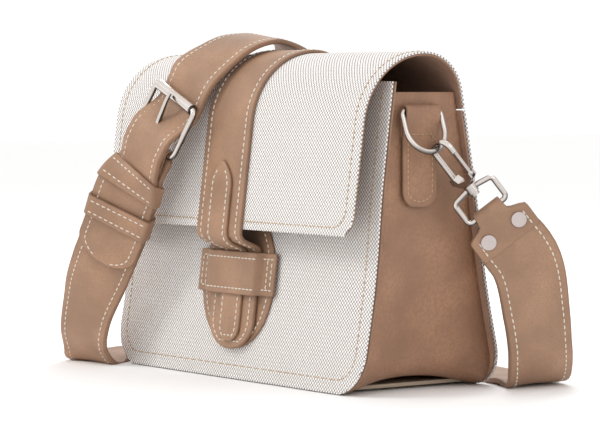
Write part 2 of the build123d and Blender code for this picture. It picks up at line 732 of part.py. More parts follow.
# Riveted strap ends: the thin end folds through the swivel's loop and back on itself.
end_plane = Plane(origin=loop_centre, x_dir=end_along, z_dir=end_across)
plan_plane = Plane(origin=loop_centre, x_dir=end_along, z_dir=end_along.cross(end_across))
fold_room = LOOP_WIRE + SKIN_GAP
rivet_spots = [(RIVET_AT, side * RIVET_SPREAD / 2) for side in (-1, 1)]
with BuildPart() as strap_end:
    with BuildSketch(end_plane.offset(-STRAP_WIDTH / 2)):
        outer = fold_room + FOLD_LEATHER
        with BuildLine():
            Polyline(
                (0, outer), (END_SHOULDER, half_strap), (END_LENGTH, half_strap),
                (END_LENGTH, -half_strap), (END_SHOULDER, -half_strap), (0, -outer),
            )
            ThreePointArc((0, -outer), (-outer, 0), (0, outer))
        make_face()
        Circle(fold_room, mode=Mode.SUBTRACT)
        Polygon((0, fold_room), (END_SHOULDER, 0), (0, -fold_room), align=None, mode=Mode.SUBTRACT)
    extrude(amount=STRAP_WIDTH)
    with BuildSketch(plan_plane.offset(-2 * STRAP_WIDTH / 2)):
        neck = END_NECK / 2
        half = STRAP_WIDTH / 2
        Polygon(
            (-2 * outer, -neck), (END_SHOULDER / 2, -neck), (END_SHOULDER, -half), (END_LENGTH, -half),
            (END_LENGTH, half), (END_SHOULDER, half), (END_SHOULDER / 2, neck), (-2 * outer, neck),
            align=None,
        )
    extrude(amount=2 * STRAP_WIDTH, mode=Mode.INTERSECT)
    with BuildSketch(plan_plane.offset(-STRAP_LEATHER)):
        with Locations(*rivet_spots):
            Circle(RIVET_SHANK)
    extrude(amount=2 * STRAP_LEATHER, mode=Mode.SUBTRACT)

with BuildPart() as strap_floor:
    add(strap_end.part)
    add(band(long_run, END_LENGTH - 1, long_foot - SKIN_GAP, STRAP_WIDTH, STRAP_LEATHER))
keep(strap_floor.part, "long_strap_floor")

with BuildPart() as strap_side:
    side_end = buckle_run.reach[-1] - END_LENGTH
    add(strap_end.part.mirror(Plane.YZ))
    add(band(buckle_run, buckle_foot + SKIN_GAP, side_end + 1, STRAP_WIDTH, STRAP_LEATHER))
keep(strap_side.part, "buckle_strap_side")

for index, spot in enumerate(rivet_spots):
    with BuildPart() as rivet:
        with BuildSketch(plan_plane.offset(half_strap)):
            with Locations(spot):
                Circle(RIVET_CAP)
        extrude(amount=RIVET_HEIGHT, taper=20)
        with BuildSketch(plan_plane.offset(-half_strap)):
            with Locations(spot):
                Circle(RIVET_SHANK)
        extrude(amount=STRAP_LEATHER)
        with BuildSketch(plan_plane.offset(-half_strap)):
            with Locations(spot):
                Circle(RIVET_CAP - 1)
        extrude(amount=-RIVET_HEIGHT, taper=20)
    both_sides(rivet.part, ("rivet_front", "rivet_back")[index])

# ---- roller buckle --------------------------------------------------------------------------------
frame_plane = across_plane(buckle_run, roller_s + BUCKLE_LENGTH / 2)
roller_point = frame_plane.from_local_coords((0, BUCKLE_LENGTH / 2, 0))
heel_point = frame_plane.from_local_coords((0, -BUCKLE_LENGTH / 2, 0))
with BuildPart() as buckle_frame:
    with BuildLine(frame_plane) as frame_path:
        half = BUCKLE_WIDTH / 2
        reach = BUCKLE_LENGTH / 2
        FilletPolyline(
            (half, reach), (half, -reach), (-half, -reach), (-half, reach),
            radius=2.2 * BUCKLE_WIRE, close=True,
        )
    with BuildSketch(Plane(origin=frame_path.line @ 0, z_dir=frame_path.line % 0)):
        Circle(BUCKLE_WIRE)
    sweep()
keep(buckle_frame.part, "buckle_frame")

with BuildPart() as roller:
    with BuildSketch(Plane(origin=roller_point, z_dir=frame_plane.x_dir).offset(-ROLLER_LENGTH / 2)):
        Circle(ROLLER_RADIUS)
        Circle(HEEL_ROOM, mode=Mode.SUBTRACT)
    extrude(amount=ROLLER_LENGTH)
keep(roller.part, "buckle_roller")

# The prong's side view: local X up from the heel bar to the roller, local Y out of the buckle.
prong_plane = Plane(origin=heel_point, x_dir=frame_plane.y_dir, z_dir=frame_plane.y_dir.cross(
    frame_plane.z_dir))
with BuildPart() as prong:
    with BuildSketch(prong_plane.offset(-PRONG_WIRE)):
        lift = ROLLER_RADIUS + RING_CLEARANCE + PRONG_WIRE
        Circle(HEEL_ROOM + PRONG_WIRE)
        with BuildLine():
            start = (HEEL_ROOM + PRONG_WIRE / 2, PRONG_WIRE / 2)
            Polyline(start, (BUCKLE_LENGTH / 2, lift * 0.62), (BUCKLE_LENGTH - 4, lift),
                     (BUCKLE_LENGTH + PRONG_WIRE, lift), (BUCKLE_LENGTH + PRONG_WIRE, lift + PRONG_WIRE),
                     (BUCKLE_LENGTH - 4, lift + PRONG_WIRE), (BUCKLE_LENGTH / 2, lift * 0.62 + 2),
                     (HEEL_ROOM, HEEL_ROOM + PRONG_WIRE / 2), start)
        make_face()
        Circle(HEEL_ROOM, mode=Mode.SUBTRACT)
    extrude(amount=2 * PRONG_WIRE)
keep(prong.part, "buckle_prong")

# The buckle strap folds round the heel bar, with a slot for the prong, and runs down to the foot.
fold_plane = Plane(origin=heel_point, x_dir=-frame_plane.y_dir, z_dir=-frame_plane.x_dir)
with BuildPart() as strap_front:
    def lower_lift(s):
        return ease(s - heel_s, [(0, below_fold), (6 * FOLD_LENGTH, below_fold), (9 * FOLD_LENGTH, 0)])

    lower_start = heel_s + 2 * BUCKLE_WIRE
    lower_stop = buckle_foot - SKIN_GAP
    add(band(buckle_run, lower_start, lower_stop, STRAP_WIDTH, STRAP_LEATHER, lower_lift))
    fold_width = STRAP_WIDTH - 2 * SKIN_GAP
    with BuildSketch(fold_plane.offset(-fold_width / 2)):
        outer = HEEL_ROOM + FOLD_LEATHER
        with BuildLine():
            Line((0, -outer), (0, outer))
            ThreePointArc((0, outer), (-outer, 0), (0, -outer))
        make_face()
        Polygon(
            (0, outer), (FOLD_LENGTH, below_fold + half_strap + FOLD_LEATHER),
            (FOLD_LENGTH, below_fold), (3 * BUCKLE_WIRE, below_fold), (0, HEEL_ROOM), align=None,
        )
        Polygon(
            (0, -outer), (3 * BUCKLE_WIRE, SKIN_GAP - outer), (3 * BUCKLE_WIRE, below_fold),
            (0, -HEEL_ROOM), align=None,
        )
        Circle(HEEL_ROOM, mode=Mode.SUBTRACT)
    extrude(amount=fold_width)
    with BuildSketch(frame_plane.offset(-3 * ROLLER_RADIUS)):
        with Locations((0, -BUCKLE_LENGTH / 2)):
            SlotOverall(SLOT_LENGTH + 2 * outer, PRONG_SLOT, rotation=90)
    extrude(amount=6 * ROLLER_RADIUS, mode=Mode.SUBTRACT)
keep(strap_front.part, "buckle_strap_front")

def loop_lift(s):
    return (below_fold + on_top) / 2


for name, distance in (("upper", UPPER_LOOP), ("lower", LOWER_LOOP)):
    ends = (roller_s + distance - LOOP_BAND / 2, roller_s + distance + LOOP_BAND / 2)
    inside = (STRAP_WIDTH + 2 * LOOP_SLACK, 2 * STRAP_LEATHER + SKIN_GAP + 2 * LOOP_SLACK)
    outside = (inside[0] + 2 * LOOP_LEATHER, inside[1] + 2 * LOOP_LEATHER)
    with BuildPart() as loop_piece:
        add(band(buckle_run, *ends, *outside, loop_lift))
        add(band(buckle_run, *ends, *inside, loop_lift), mode=Mode.SUBTRACT)
    keep(loop_piece.part, f"strap_loop_{name}")
print(len(made), "pieces")
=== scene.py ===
# %% [markdown]
# A structured crossbody bag: two canvas panels on a leather gusset, a canvas flap with a leather
# closure strap, and a buckled shoulder strap. The measured model is loaded first. Its metal pieces
# stay as they are, and every soft piece is built again here with rounded edges, seams and sag.

# %% Load the frame
import math
import bpy
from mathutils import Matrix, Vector, noise


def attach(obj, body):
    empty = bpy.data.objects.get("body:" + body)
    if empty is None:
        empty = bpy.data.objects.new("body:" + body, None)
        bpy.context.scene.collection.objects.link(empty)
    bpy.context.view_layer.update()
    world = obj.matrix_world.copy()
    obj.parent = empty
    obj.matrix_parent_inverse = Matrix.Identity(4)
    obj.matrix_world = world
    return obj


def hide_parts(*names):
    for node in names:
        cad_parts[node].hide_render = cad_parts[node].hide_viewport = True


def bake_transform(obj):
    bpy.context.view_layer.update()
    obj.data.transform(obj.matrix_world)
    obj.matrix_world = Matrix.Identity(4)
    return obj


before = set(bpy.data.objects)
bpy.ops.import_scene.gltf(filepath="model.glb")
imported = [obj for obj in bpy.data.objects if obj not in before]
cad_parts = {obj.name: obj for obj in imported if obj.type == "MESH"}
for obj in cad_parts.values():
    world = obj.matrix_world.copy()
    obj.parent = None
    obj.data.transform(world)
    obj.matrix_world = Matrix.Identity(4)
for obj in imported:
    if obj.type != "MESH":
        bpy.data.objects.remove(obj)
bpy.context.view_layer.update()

# %% [markdown]
# The camera stands to the bag's right, almost level with it, and far away with a long lens, so
# upright edges stay parallel. Three soft lights and a bright sky give a soft, almost shadowless look.

# %% Camera and light
MM = 0.001
camera_data = bpy.data.cameras.new("camera")
camera_data.lens = 161.8
camera = bpy.data.objects.new("camera", camera_data)
bpy.context.collection.objects.link(camera)
camera.location = (1.2837, -0.9333, 0.1685)
aim = Vector((-0.00128, 0.0, 0.09412)) - Vector(camera.location)
camera.rotation_euler = aim.to_track_quat("-Z", "Y").to_euler()
bpy.context.scene.camera = camera


def add_object(name, data):
    """A new object in the scene."""
    made = bpy.data.objects.new(name, data)
    bpy.context.collection.objects.link(made)
    return made


def add_light(name, place, target, size, power, tint):
    data = bpy.data.lights.new(name, "AREA")
    data.shape = "DISK"
    data.size = size
    data.energy = power
    data.color = tint
    light = add_object(name, data)
    light.location = place
    light.rotation_euler = (Vector(target) - Vector(place)).to_track_quat("-Z", "Y").to_euler()
    return light


add_light("key", (-0.5, -1.2, 1.2), (0, 0, 0.08), 0.6, 7.5, (1.0, 0.985, 0.96))
add_light("fill", (1.5, 0.1, 0.7), (0, 0, 0.08), 1.0, 2.0, (0.97, 0.98, 1.0))
add_light("rim", (-0.7, 0.9, 1.3), (0, 0, 0.1), 0.8, 8, (1.0, 1.0, 1.0))
world = bpy.data.worlds.new("studio")
bpy.context.scene.world = world
world.use_nodes = True
world.node_tree.nodes["Background"].inputs["Color"].default_value = (1.0, 0.995, 0.99, 1)
world.node_tree.nodes["Background"].inputs["Strength"].default_value = 1.03
bpy.context.scene.view_settings.view_transform = "Standard"
print("camera at", tuple(camera.location))

# %% [markdown]
# Finishes are node trees. This small helper wires one node at a time and keeps the recipes short.
# Colours are written as plain red, green and blue shares.

# %% A helper for finishes


class Recipe:
    """A material that is built up one node at a time."""

    def __init__(self, name):
        self.material = bpy.data.materials.new(name)
        self.material.use_nodes = True
        self.tree = self.material.node_tree
        self.shader = self.tree.nodes["Principled BSDF"]

    def node(self, kind, values=(), **settings):
        made = self.tree.nodes.new("ShaderNode" + kind)
        for key, value in settings.items():
            setattr(made, key, value)
        for index, value in dict(values).items():
            socket = made.inputs[index]
            if isinstance(value, bpy.types.NodeSocket):
                self.tree.links.new(value, socket)
            else:
                socket.default_value = value
        return made.outputs[0]

    def math(self, operation, a, b=0.0, c=0.0):
        return self.node("Math", {0: a, 1: b, 2: c}, operation=operation)

    def mix(self, share, a, b):
        made = self.tree.nodes.new("ShaderNodeMix")
        made.data_type = "RGBA"
        for index, value in ((0, share), (6, a), (7, b)):
            if isinstance(value, bpy.types.NodeSocket):
                self.tree.links.new(value, made.inputs[index])
            else:
                made.inputs[index].default_value = value if index == 0 else (*value, 1)
        return made.outputs[2]

    def ramp(self, value, low, high):
        """0 below low, 1 above high, smooth between."""
        return self.node("MapRange", {0: value, 1: low, 2: high, 3: 0.0, 4: 1.0},
                         interpolation_type="SMOOTHSTEP")

    def uv(self):
        made = self.tree.nodes.new("ShaderNodeTexCoord")
        return made.outputs["UV"]

    def place(self):
        made = self.tree.nodes.new("ShaderNodeTexCoord")
        return made.outputs["Object"]

    def noise(self, where, scale, detail=3.0):
        made = self.tree.nodes.new("ShaderNodeTexNoise")
        made.inputs["Scale"].default_value = scale
        made.inputs["Detail"].default_value = detail
        self.tree.links.new(where, made.inputs["Vector"])
        return made.outputs[0]

    def cells(self, where, scale, feature="F1"):
        made = self.tree.nodes.new("ShaderNodeTexVoronoi")
        made.feature = feature
        made.inputs["Scale"].default_value = scale
        self.tree.links.new(where, made.inputs["Vector"])
        return made.outputs["Distance"]

    def bump(self, height, distance, strength=1.0):
        made = self.tree.nodes.new("ShaderNodeBump")
        made.inputs["Strength"].default_value = strength
        made.inputs["Distance"].default_value = distance
        self.tree.links.new(height, made.inputs["Height"])
        self.tree.links.new(made.outputs[0], self.shader.inputs["Normal"])

    def set(self, **values):
        names = {"color": "Base Color", "rough": "Roughness", "metal": "Metallic", "ior": "IOR",
                 "sheen": "Sheen Weight", "coat": "Coat Weight", "coat_rough": "Coat Roughness",
                 "spec": "Specular IOR Level"}
        for key, value in values.items():
            socket = self.shader.inputs[names[key]]
            if isinstance(value, bpy.types.NodeSocket):
                self.tree.links.new(value, socket)
            elif key == "color":
                socket.default_value = (*value, 1)
            else:
                socket.default_value = value
        return self.material


# %% [markdown]
# The canvas is a plain weave of thick cream yarns, with painted shade in the small gaps where they cross.
# Two sine waves along the cloth's diagonals say which yarn lies on top, and their product is the crown
# of each yarn. The cloth's flat coordinates are in metres, so the yarns keep their width everywhere.

# %% Canvas
YARN = 2.4 * MM


def make_canvas(name, light, gap):
    r = Recipe(name)
    split = r.tree.nodes.new("ShaderNodeSeparateXYZ")
    r.tree.links.new(r.uv(), split.inputs[0])
    fuzz = r.noise(r.uv(), 260.0)
    up = r.math("ADD", split.outputs[0], split.outputs[1])
    down = r.math("SUBTRACT", split.outputs[0], split.outputs[1])
    a = r.math("MULTIPLY_ADD", up, math.pi / YARN, r.math("MULTIPLY", fuzz, 0.9))
    b = r.math("MULTIPLY_ADD", down, math.pi / YARN, r.math("MULTIPLY", fuzz, -0.7))
    over = r.math("MULTIPLY", r.math("SINE", a), r.math("SINE", b))
    crown = r.math("ABSOLUTE", over)
    warp = r.ramp(over, -0.25, 0.25)
    height = r.math("ADD", r.math("POWER", crown, 0.6), r.math("MULTIPLY", warp, 0.5))
    yarn = r.mix(warp, tuple(0.90 * c for c in light), light)
    blotch = r.noise(r.uv(), 55.0)
    yarn = r.mix(r.ramp(blotch, 0.35, 0.75), yarn, tuple(0.93 * c for c in light))
    # Painted shade: the low places between the yarns take the dark gap colour.
    color = r.mix(r.ramp(crown, 0.02, 0.42), gap, yarn)
    r.bump(height, 0.32 * MM, 0.9)
    return r.set(color=color, rough=0.86, sheen=0.15, spec=0.25)


# The second colour is the painted shade in the gaps between yarns.
canvas = make_canvas("canvas", (0.95, 0.92, 0.89), (0.15, 0.115, 0.115))
print("yarn pitch in mm", YARN / MM)

# %% [markdown]
# The leather is full grain with a soft pebble. Large slow noise shifts its colour, small cells make
# the grain, and a finer noise breaks up the gloss. The gusset has a larger pebble than the straps,
# and the cut edges are a little darker than the faces.

# %% Leather


def make_leather(name, base, pebble, depth, rough):
    r = Recipe(name)
    where = r.uv()
    slow = r.noise(where, 28.0, 4.0)
    fine = r.noise(where, 900.0, 2.0)
    grain = r.cells(where, 1.0 / pebble)
    creases = r.noise(where, 160.0, 5.0)
    dark = tuple(0.74 * c for c in base)
    pale = tuple(min(1.0, 1.13 * c) for c in base)
    color = r.mix(r.ramp(slow, 0.3, 0.72), dark, pale)
    color = r.mix(r.math("MULTIPLY", r.ramp(grain, 0.35, 0.75), 0.45), color, dark)
    shine = r.math("MULTIPLY_ADD", fine, 0.22, rough - 0.08)
    height = r.math("ADD", r.math("MULTIPLY", grain, -0.8), r.math("MULTIPLY", creases, 0.7))
    r.bump(height, depth, 0.75)
    return r.set(color=color, rough=shine, spec=0.4, coat=0.06, coat_rough=0.4)


TAN = (0.36, 0.208, 0.127)
strap_leather = make_leather("strap_leather", TAN, 0.9 * MM, 0.16 * MM, 0.50)
gusset_leather = make_leather("gusset_leather", (0.325, 0.173, 0.101), 1.9 * MM, 0.45 * MM, 0.52)
lining_leather = make_leather("lining_leather", (0.34, 0.20, 0.14), 1.1 * MM, 0.12 * MM, 0.62)
edge_leather = make_leather("edge_leather", (0.29, 0.165, 0.10), 0.5 * MM, 0.14 * MM, 0.58)
patch_leather = make_leather("patch_leather", tuple(0.92 * c for c in TAN), 0.9 * MM, 0.16 * MM, 0.52)

# %% [markdown]
# The sewing thread is twisted, so fine slanted bands across its length make the bump. The straps are
# sewn in cream and the canvas in golden tan. The metal is nickel with a painted reflection: its colour
# darkens on faces that look down or to the back, standing in for the dark things such faces reflect.

# %% Thread, card and metal


def make_thread(name, base):
    r = Recipe(name)
    twist = r.node("TexWave", {0: r.place(), 1: 900.0, 2: 1.5}, bands_direction="DIAGONAL")
    color = r.mix(r.ramp(twist, 0.2, 0.8), tuple(0.78 * c for c in base), base)
    r.bump(twist, 0.08 * MM)
    return r.set(color=color, rough=0.75, sheen=0.2)


cream_thread = make_thread("cream_thread", (0.86, 0.79, 0.68))
tan_thread = make_thread("tan_thread", (0.56, 0.37, 0.20))


def make_metal(name, base, rough, scratch, shade):
    """Metal with a painted reflection: faces darken to shade of their colour as they turn down and back."""
    r = Recipe(name)
    wear = r.noise(r.place(), 450.0, 4.0)
    cloud = r.noise(r.place(), 90.0)
    facing = r.tree.nodes.new("ShaderNodeNewGeometry")
    split = r.tree.nodes.new("ShaderNodeSeparateXYZ")
    r.tree.links.new(facing.outputs["Normal"], split.inputs[0])
    # Painted reflection: faces that look down or to the back turn towards the darker shade colour.
    painted_reflection_facing = r.math("MULTIPLY_ADD", split.outputs[1], -0.55, r.math("MULTIPLY", split.outputs[2], 0.8))
    color = r.mix(r.ramp(cloud, 0.3, 0.8), base, tuple(0.90 * c for c in base))
    color = r.mix(r.ramp(painted_reflection_facing, -0.25, 0.45), tuple(shade * c for c in base), color)
    shine = r.math("MULTIPLY_ADD", wear, 0.16, rough - 0.06)
    r.bump(wear, scratch)
    return r.set(color=color, rough=shine, metal=1.0)


# The last number sets how dark the painted reflection makes faces that look down or to the back.
nickel = make_metal("nickel", (0.74, 0.68, 0.64), 0.15, 0.02 * MM, 0.22)
rivet_metal = make_metal("rivet_metal", (0.60, 0.53, 0.51), 0.40, 0.05 * MM, 0.7)
card = make_leather("card", (0.45, 0.36, 0.27), 0.6 * MM, 0.05 * MM, 0.8)
print("finishes", [m.name for m in bpy.data.materials])

# %% [markdown]
# Nearly every soft piece is a sheet of even thickness with a rounded rim. The helper takes a grid of
# points on the sheet's middle surface and grows both faces and a half-round rim from it. Each point
# also carries its flat place in metres, which the finishes read.

# %% A helper for sheets
RIM_STEPS = 5


def sheet_mesh(name, rows, thickness, flat, face, edge=None, rim=0.5):
    """rows[j][i] is a point of the middle surface, and flat[j][i] its place in the cut piece."""
    tall, wide = len(rows), len(rows[0])

    def across(j, i):
        return rows[j][min(i + 1, wide - 1)] - rows[j][max(i - 1, 0)]

    def along(j, i):
        return rows[min(j + 1, tall - 1)][i] - rows[max(j - 1, 0)][i]

    points, marks, faces, slots = [], [], [], []
    normals = [[across(j, i).cross(along(j, i)).normalized() for i in range(wide)] for j in range(tall)]
    for side in (1, -1):
        for j in range(tall):
            for i in range(wide):
                points.append(rows[j][i] + normals[j][i] * (side * thickness / 2))
                marks.append(flat[j][i])
    shift = tall * wide
    for j in range(tall - 1):
        for i in range(wide - 1):
            a, b, c, d = j * wide + i, j * wide + i + 1, (j + 1) * wide + i + 1, (j + 1) * wide + i
            faces += [(a, b, c, d), (shift + d, shift + c, shift + b, shift + a)]
            slots += [0, 2]
    loop = [(0, i) for i in range(wide)] + [(j, wide - 1) for j in range(1, tall)]
    loop += [(tall - 1, i) for i in range(wide - 2, -1, -1)] + [(j, 0) for j in range(tall - 2, 0, -1)]
    rings = [[j * wide + i for j, i in loop]]
    for step in range(1, RIM_STEPS):
        angle = math.pi * step / RIM_STEPS
        ring = []
        for k, (j, i) in enumerate(loop):
            before, after = loop[k - 1], loop[(k + 1) % len(loop)]
            run = rows[after[0]][after[1]] - rows[before[0]][before[1]]
            out = run.cross(normals[j][i]).normalized()
            reach = thickness * rim * math.sqrt(math.sin(angle))
            rise = thickness / 2 * math.cos(angle)
            ring.append(len(points))
            points.append(rows[j][i] + out * reach + normals[j][i] * rise)
            marks.append((flat[j][i][0] + reach, flat[j][i][1]))
        rings.append(ring)
    rings.append([shift + j * wide + i for j, i in loop])
    for low, high in zip(rings, rings[1:]):
        for k in range(len(loop)):
            n = (k + 1) % len(loop)
            faces.append((low[n], low[k], high[k], high[n]))
            slots.append(1)
    mesh = bpy.data.meshes.new(name)
    mesh.from_pydata([tuple(p) for p in points], [], faces)
    for material in (face, edge or face, face):
        mesh.materials.append(material)
    layer = mesh.uv_layers.new(name="flat")
    for polygon, slot in zip(mesh.polygons, slots):
        polygon.material_index = slot
        polygon.use_smooth = True
        for index in polygon.loop_indices:
            layer.data[index].uv = marks[mesh.loops[index].vertex_index]
    mesh.update()
    piece = add_object(name, mesh)
    return piece


def span(low, high, count):
    return [low + (high - low) * k / (count - 1) for k in range(count)]


# %% [markdown]
# Stitches are real: each is a short bead of thread whose two ends sink into the leather. The helper
# walks along a line of (point, normal) pairs and lays one bead every few millimetres.

# %% A helper for stitching
STITCH_PITCH = 3.6 * MM
STITCH_LENGTH = 2.7 * MM
THREAD_RADIUS = 0.42 * MM


def sew(name, lines, material, pitch=STITCH_PITCH, length=STITCH_LENGTH, radius=THREAD_RADIUS):
    """One mesh with a bead of thread for each stitch along each line of (point, normal) pairs."""
    points, faces = [], []
    beads = ((0.0, 0.35, -0.7), (0.12, 0.8, -0.1), (0.5, 1.0, 0.35), (0.88, 0.8, -0.1), (1.0, 0.35, -0.7))
    count = 0
    for line in lines:
        reach = [0.0]
        for (p, n), (q, m) in zip(line, line[1:]):
            reach.append(reach[-1] + (q - p).length)
        at = 0.0
        number = max(1, round(reach[-1] / pitch))
        step = reach[-1] / number
        index = 0
        for k in range(number):
            at = step * (k + 0.5)
            while index < len(line) - 2 and reach[index + 1] < at:
                index += 1
            (p, n), (q, m) = line[index], line[index + 1]
            share = (at - reach[index]) / max(reach[index + 1] - reach[index], 1e-9)
            middle = p.lerp(q, share)
            up = n.lerp(m, share).normalized()
            run = (q - p).normalized()
            side = run.cross(up)
            start = len(points)
            for along, girth, rise in beads:
                centre = middle + run * ((along - 0.5) * length) + up * (radius * rise)
                for turn in range(6):
                    angle = turn * math.pi / 3
                    spoke = side * math.cos(angle) + up * math.sin(angle)
                    points.append(centre + spoke * (radius * girth))
            for ring in range(len(beads) - 1):
                for turn in range(6):
                    a = start + ring * 6 + turn
                    b = start + ring * 6 + (turn + 1) % 6
                    faces.append((a, b, b + 6, a + 6))
            faces.append(tuple(start + turn for turn in range(5, -1, -1)))
            last = start + 6 * (len(beads) - 1)
            faces.append(tuple(last + turn for turn in range(6)))
            count += 1
    mesh = bpy.data.meshes.new(name)
    mesh.from_pydata([tuple(p) for p in points], [], faces)
    mesh.materials.append(material)
    for polygon in mesh.polygons:
        polygon.use_smooth = True
    piece = add_object(name, mesh)
    print(name, count, "stitches")
    return piece


# %% [markdown]
# The front and back panels are flat boards wrapped in canvas, with round lower corners. Their side
# edges bow in slightly between the seams, which shows that they are soft goods and not plates.

# %% Panel surface
BAG_WIDTH = 249 * MM
BASE_DEPTH = 102 * MM
CORNER = 24 * MM
LEAN = {-1: math.tan(math.radians(7.2)), 1: math.tan(math.radians(10.4))}
PANEL_TOP = {-1: 172 * MM, 1: 156 * MM}


def half_width(z, inset):
    half = BAG_WIDTH / 2 - inset
    radius = CORNER - inset
    if z >= CORNER:
        return half
    drop = min(radius, CORNER - z)
    return half - radius + math.sqrt(max(radius**2 - drop**2, 0.0))


def bow(x, z):
    """How far the panel gives inward near its side seams."""
    edge = (abs(x) / (BAG_WIDTH / 2)) ** 6
    low = math.exp(-((z - 60 * MM) / (38 * MM)) ** 2)
    return edge * low * 1.8 * MM + 0.35 * MM * noise.noise(Vector((x * 30, z * 30, 4.0)))


def panel_point(side, x, z, depth):
    """A point depth inside the outer face of the front (-1) or back (1) panel."""
    face = BASE_DEPTH / 2 - z * LEAN[side] - depth * math.sqrt(1 + LEAN[side] ** 2)
    return Vector((x, side * (face - bow(x, z)), z))


def panel_normal(side):
    return Vector((0, side, LEAN[side])).normalized()


def panel_sheet(name, side, depth, thickness, inset, top_drop, face, edge):
    top = PANEL_TOP[side] - top_drop
    bottom = inset
    heights = [bottom + CORNER * (1 - math.cos(a)) for a in span(0.14, math.pi / 2, 9)]
    heights += span(CORNER + bottom, top, 24)[1:]
    rows, flat = [], []
    for z in heights:
        half = half_width(z, inset)
        xs = span(half * side, -half * side, 34)
        rows.append([panel_point(side, x, z, depth + thickness / 2) for x in xs])
        flat.append([(x, z) for x in xs])
    return sheet_mesh(name, rows, thickness, flat, face, edge)


# %% [markdown]
# Each panel has three layers: canvas outside, a stiff board, and brown leather inside. The leather is
# seen as a thin line at the edges and as the lining when the bag is open.

# %% Panels
for side, word in ((-1, "front"), (1, "back")):
    layers = (
        ("canvas", 0.0, 1.2, 0.6, 0.6, canvas, canvas),
        ("board", 1.2, 1.0, 6.0, 5.0, card, card),
        ("lining", 2.2, 1.2, 0.7, 0.6, lining_leather, edge_leather),
    )
    for layer, depth, thickness, inset, drop, face, edge in layers:
        node = f"{word}_{layer}"
        piece = panel_sheet(
            f"{node}_soft", side, depth * MM, thickness * MM, inset * MM, drop * MM, face, edge
        )
        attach(piece, "bag")
        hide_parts(node)


def panel_seam(side, inset, top):
    """The line of stitching that runs down one side of a panel, along the base and up the other."""
    line = []
    for z in span(top, CORNER, 30):
        line.append((half_width(z, 0) - inset, z))
    for angle in span(0, math.pi / 2, 14)[1:]:
        r = CORNER - inset
        line.append((BAG_WIDTH / 2 - CORNER + r * math.cos(angle), CORNER - r * math.sin(angle)))
    line += [(-x, z) for x, z in reversed(line)]
    return [(panel_point(side, x, z, -0.05 * MM), panel_normal(side)) for x, z in line]


for side, word in ((-1, "front"), (1, "back")):
    seam = sew(f"{word}_edge_stitch", [panel_seam(side, 8 * MM, PANEL_TOP[side] - 4 * MM)], tan_thread,
               length=3.0 * MM, radius=0.33 * MM)
    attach(seam, "bag")

# %% [markdown]
# The gusset is one long strip of pebbled leather, down one side, along the base and up the other.
# It is held at both panels and gives inward between them, most of all near the base, where its lower
# edge lifts into a shallow arch.

# %% Gusset
GUSSET_X = 120.5 * MM
GUSSET_TOP = 166 * MM
GUSSET_LEATHER = 1.5 * MM


def gusset_line():
    """Middle line of the strip as (x, z, inward x, inward z), from the right top round to the left."""
    radius = CORNER - 4 * MM - GUSSET_LEATHER / 2
    side_x = GUSSET_X - GUSSET_LEATHER / 2
    right = [(side_x, z, -1.0, 0.0) for z in span(GUSSET_TOP, radius + GUSSET_LEATHER / 2, 30)]
    for angle in span(0, math.pi / 2, 10)[1:]:
        x = side_x - radius + radius * math.cos(angle)
        right.append((x, radius + GUSSET_LEATHER / 2 - radius * math.sin(angle),
                      -math.cos(angle), math.sin(angle)))
    right += [(x, GUSSET_LEATHER / 2, 0.0, 1.0) for x in span(side_x - radius, 0, 14)[1:]]
    return right + [(-x, z, -ix, iz) for x, z, ix, iz in reversed(right[:-1])]


def gusset_give(z, t):
    """How far the strip gives inward at height z, t from 0 at the front seam to 1 at the back."""
    low = 1 - min(max((z - 20 * MM) / (78 * MM), 0), 1)
    low = low * low * (3 - 2 * low)
    belly = (4 * t * (1 - t)) ** 1.2
    crease = 0.5 * MM * noise.noise(Vector((t * 4, z * 40, 1.5)))
    return belly * (low * 7.5 * MM) + crease * belly


rows, flat, run = [], [], 0.0
previous = None
for x, z, in_x, in_z in gusset_line():
    front = panel_point(-1, x, z, 3.4 * MM).y
    back = panel_point(1, x, z, 3.4 * MM).y
    row, marks = [], []
    for t in span(0, 1, 22):
        give = gusset_give(z, t)
        row.append(Vector((x + in_x * give, front + (back - front) * t, z + in_z * give)))
        marks.append(((back - front) * t, run))
    run += (Vector((x, z)) - previous).length if previous is not None else 0.0
    previous = Vector((x, z))
    rows.append(row)
    flat.append(marks)
gusset = sheet_mesh("gusset_soft", rows, GUSSET_LEATHER, flat, gusset_leather, edge_leather, 0.1)
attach(gusset, "bag")
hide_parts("gusset")
print("gusset strip is", round(run / MM), "mm long")

# %% [markdown]
# The flap follows one side outline: up from the back panel, over the top in two wide bends, and down
# the front to the hem. The outline is a chain of straight runs with rounded corners, and every layer
# of the flap and the closure strap is the same outline moved out or in.

# %% Outline of the flap
FLAP_TOP = 188.5 * MM
FLAP_HEM = 86 * MM
HEM_Y = -57.5 * MM
FLAP_START = 157.5 * MM
CLOSURE_LEATHER = 2.2 * MM
OVERLAY_LEATHER = 1.6 * MM
PATCH_LEATHER = 1.6 * MM
GAP = 0.3 * MM


def rounded(corners, radii, step=2.2 * MM):
    """Points along a chain of runs whose corners are arcs of the given radii."""
    points = [corners[0]]
    for before, corner, after, radius in zip(corners, corners[1:], corners[2:], radii):
        a = (before - corner).normalized()
        b = (after - corner).normalized()
        half = math.acos(max(-1, min(1, a.dot(b)))) / 2
        reach = radius / math.tan(half)
        centre = corner + (a + b).normalized() * (radius / math.sin(half))
        start, end = corner + a * reach - centre, corner + b * reach - centre
        turn = start.angle_signed(end)
        count = max(4, int(abs(turn) * radius / step) + 2)
        for k in range(count):
            angle = -turn * k / (count - 1)
            c, s = math.cos(angle), math.sin(angle)
            points.append(centre + Vector((c * start.x - s * start.y, s * start.x + c * start.y)))
    points.append(corners[-1])
    filled = [points[0]]
    for p in points[1:]:
        gap = (p - filled[-1]).length
        pieces = max(1, int(gap / (1.6 * step)))
        filled += [filled[-1].lerp(p, k / pieces) for k in range(1, pieces + 1)]
    return filled


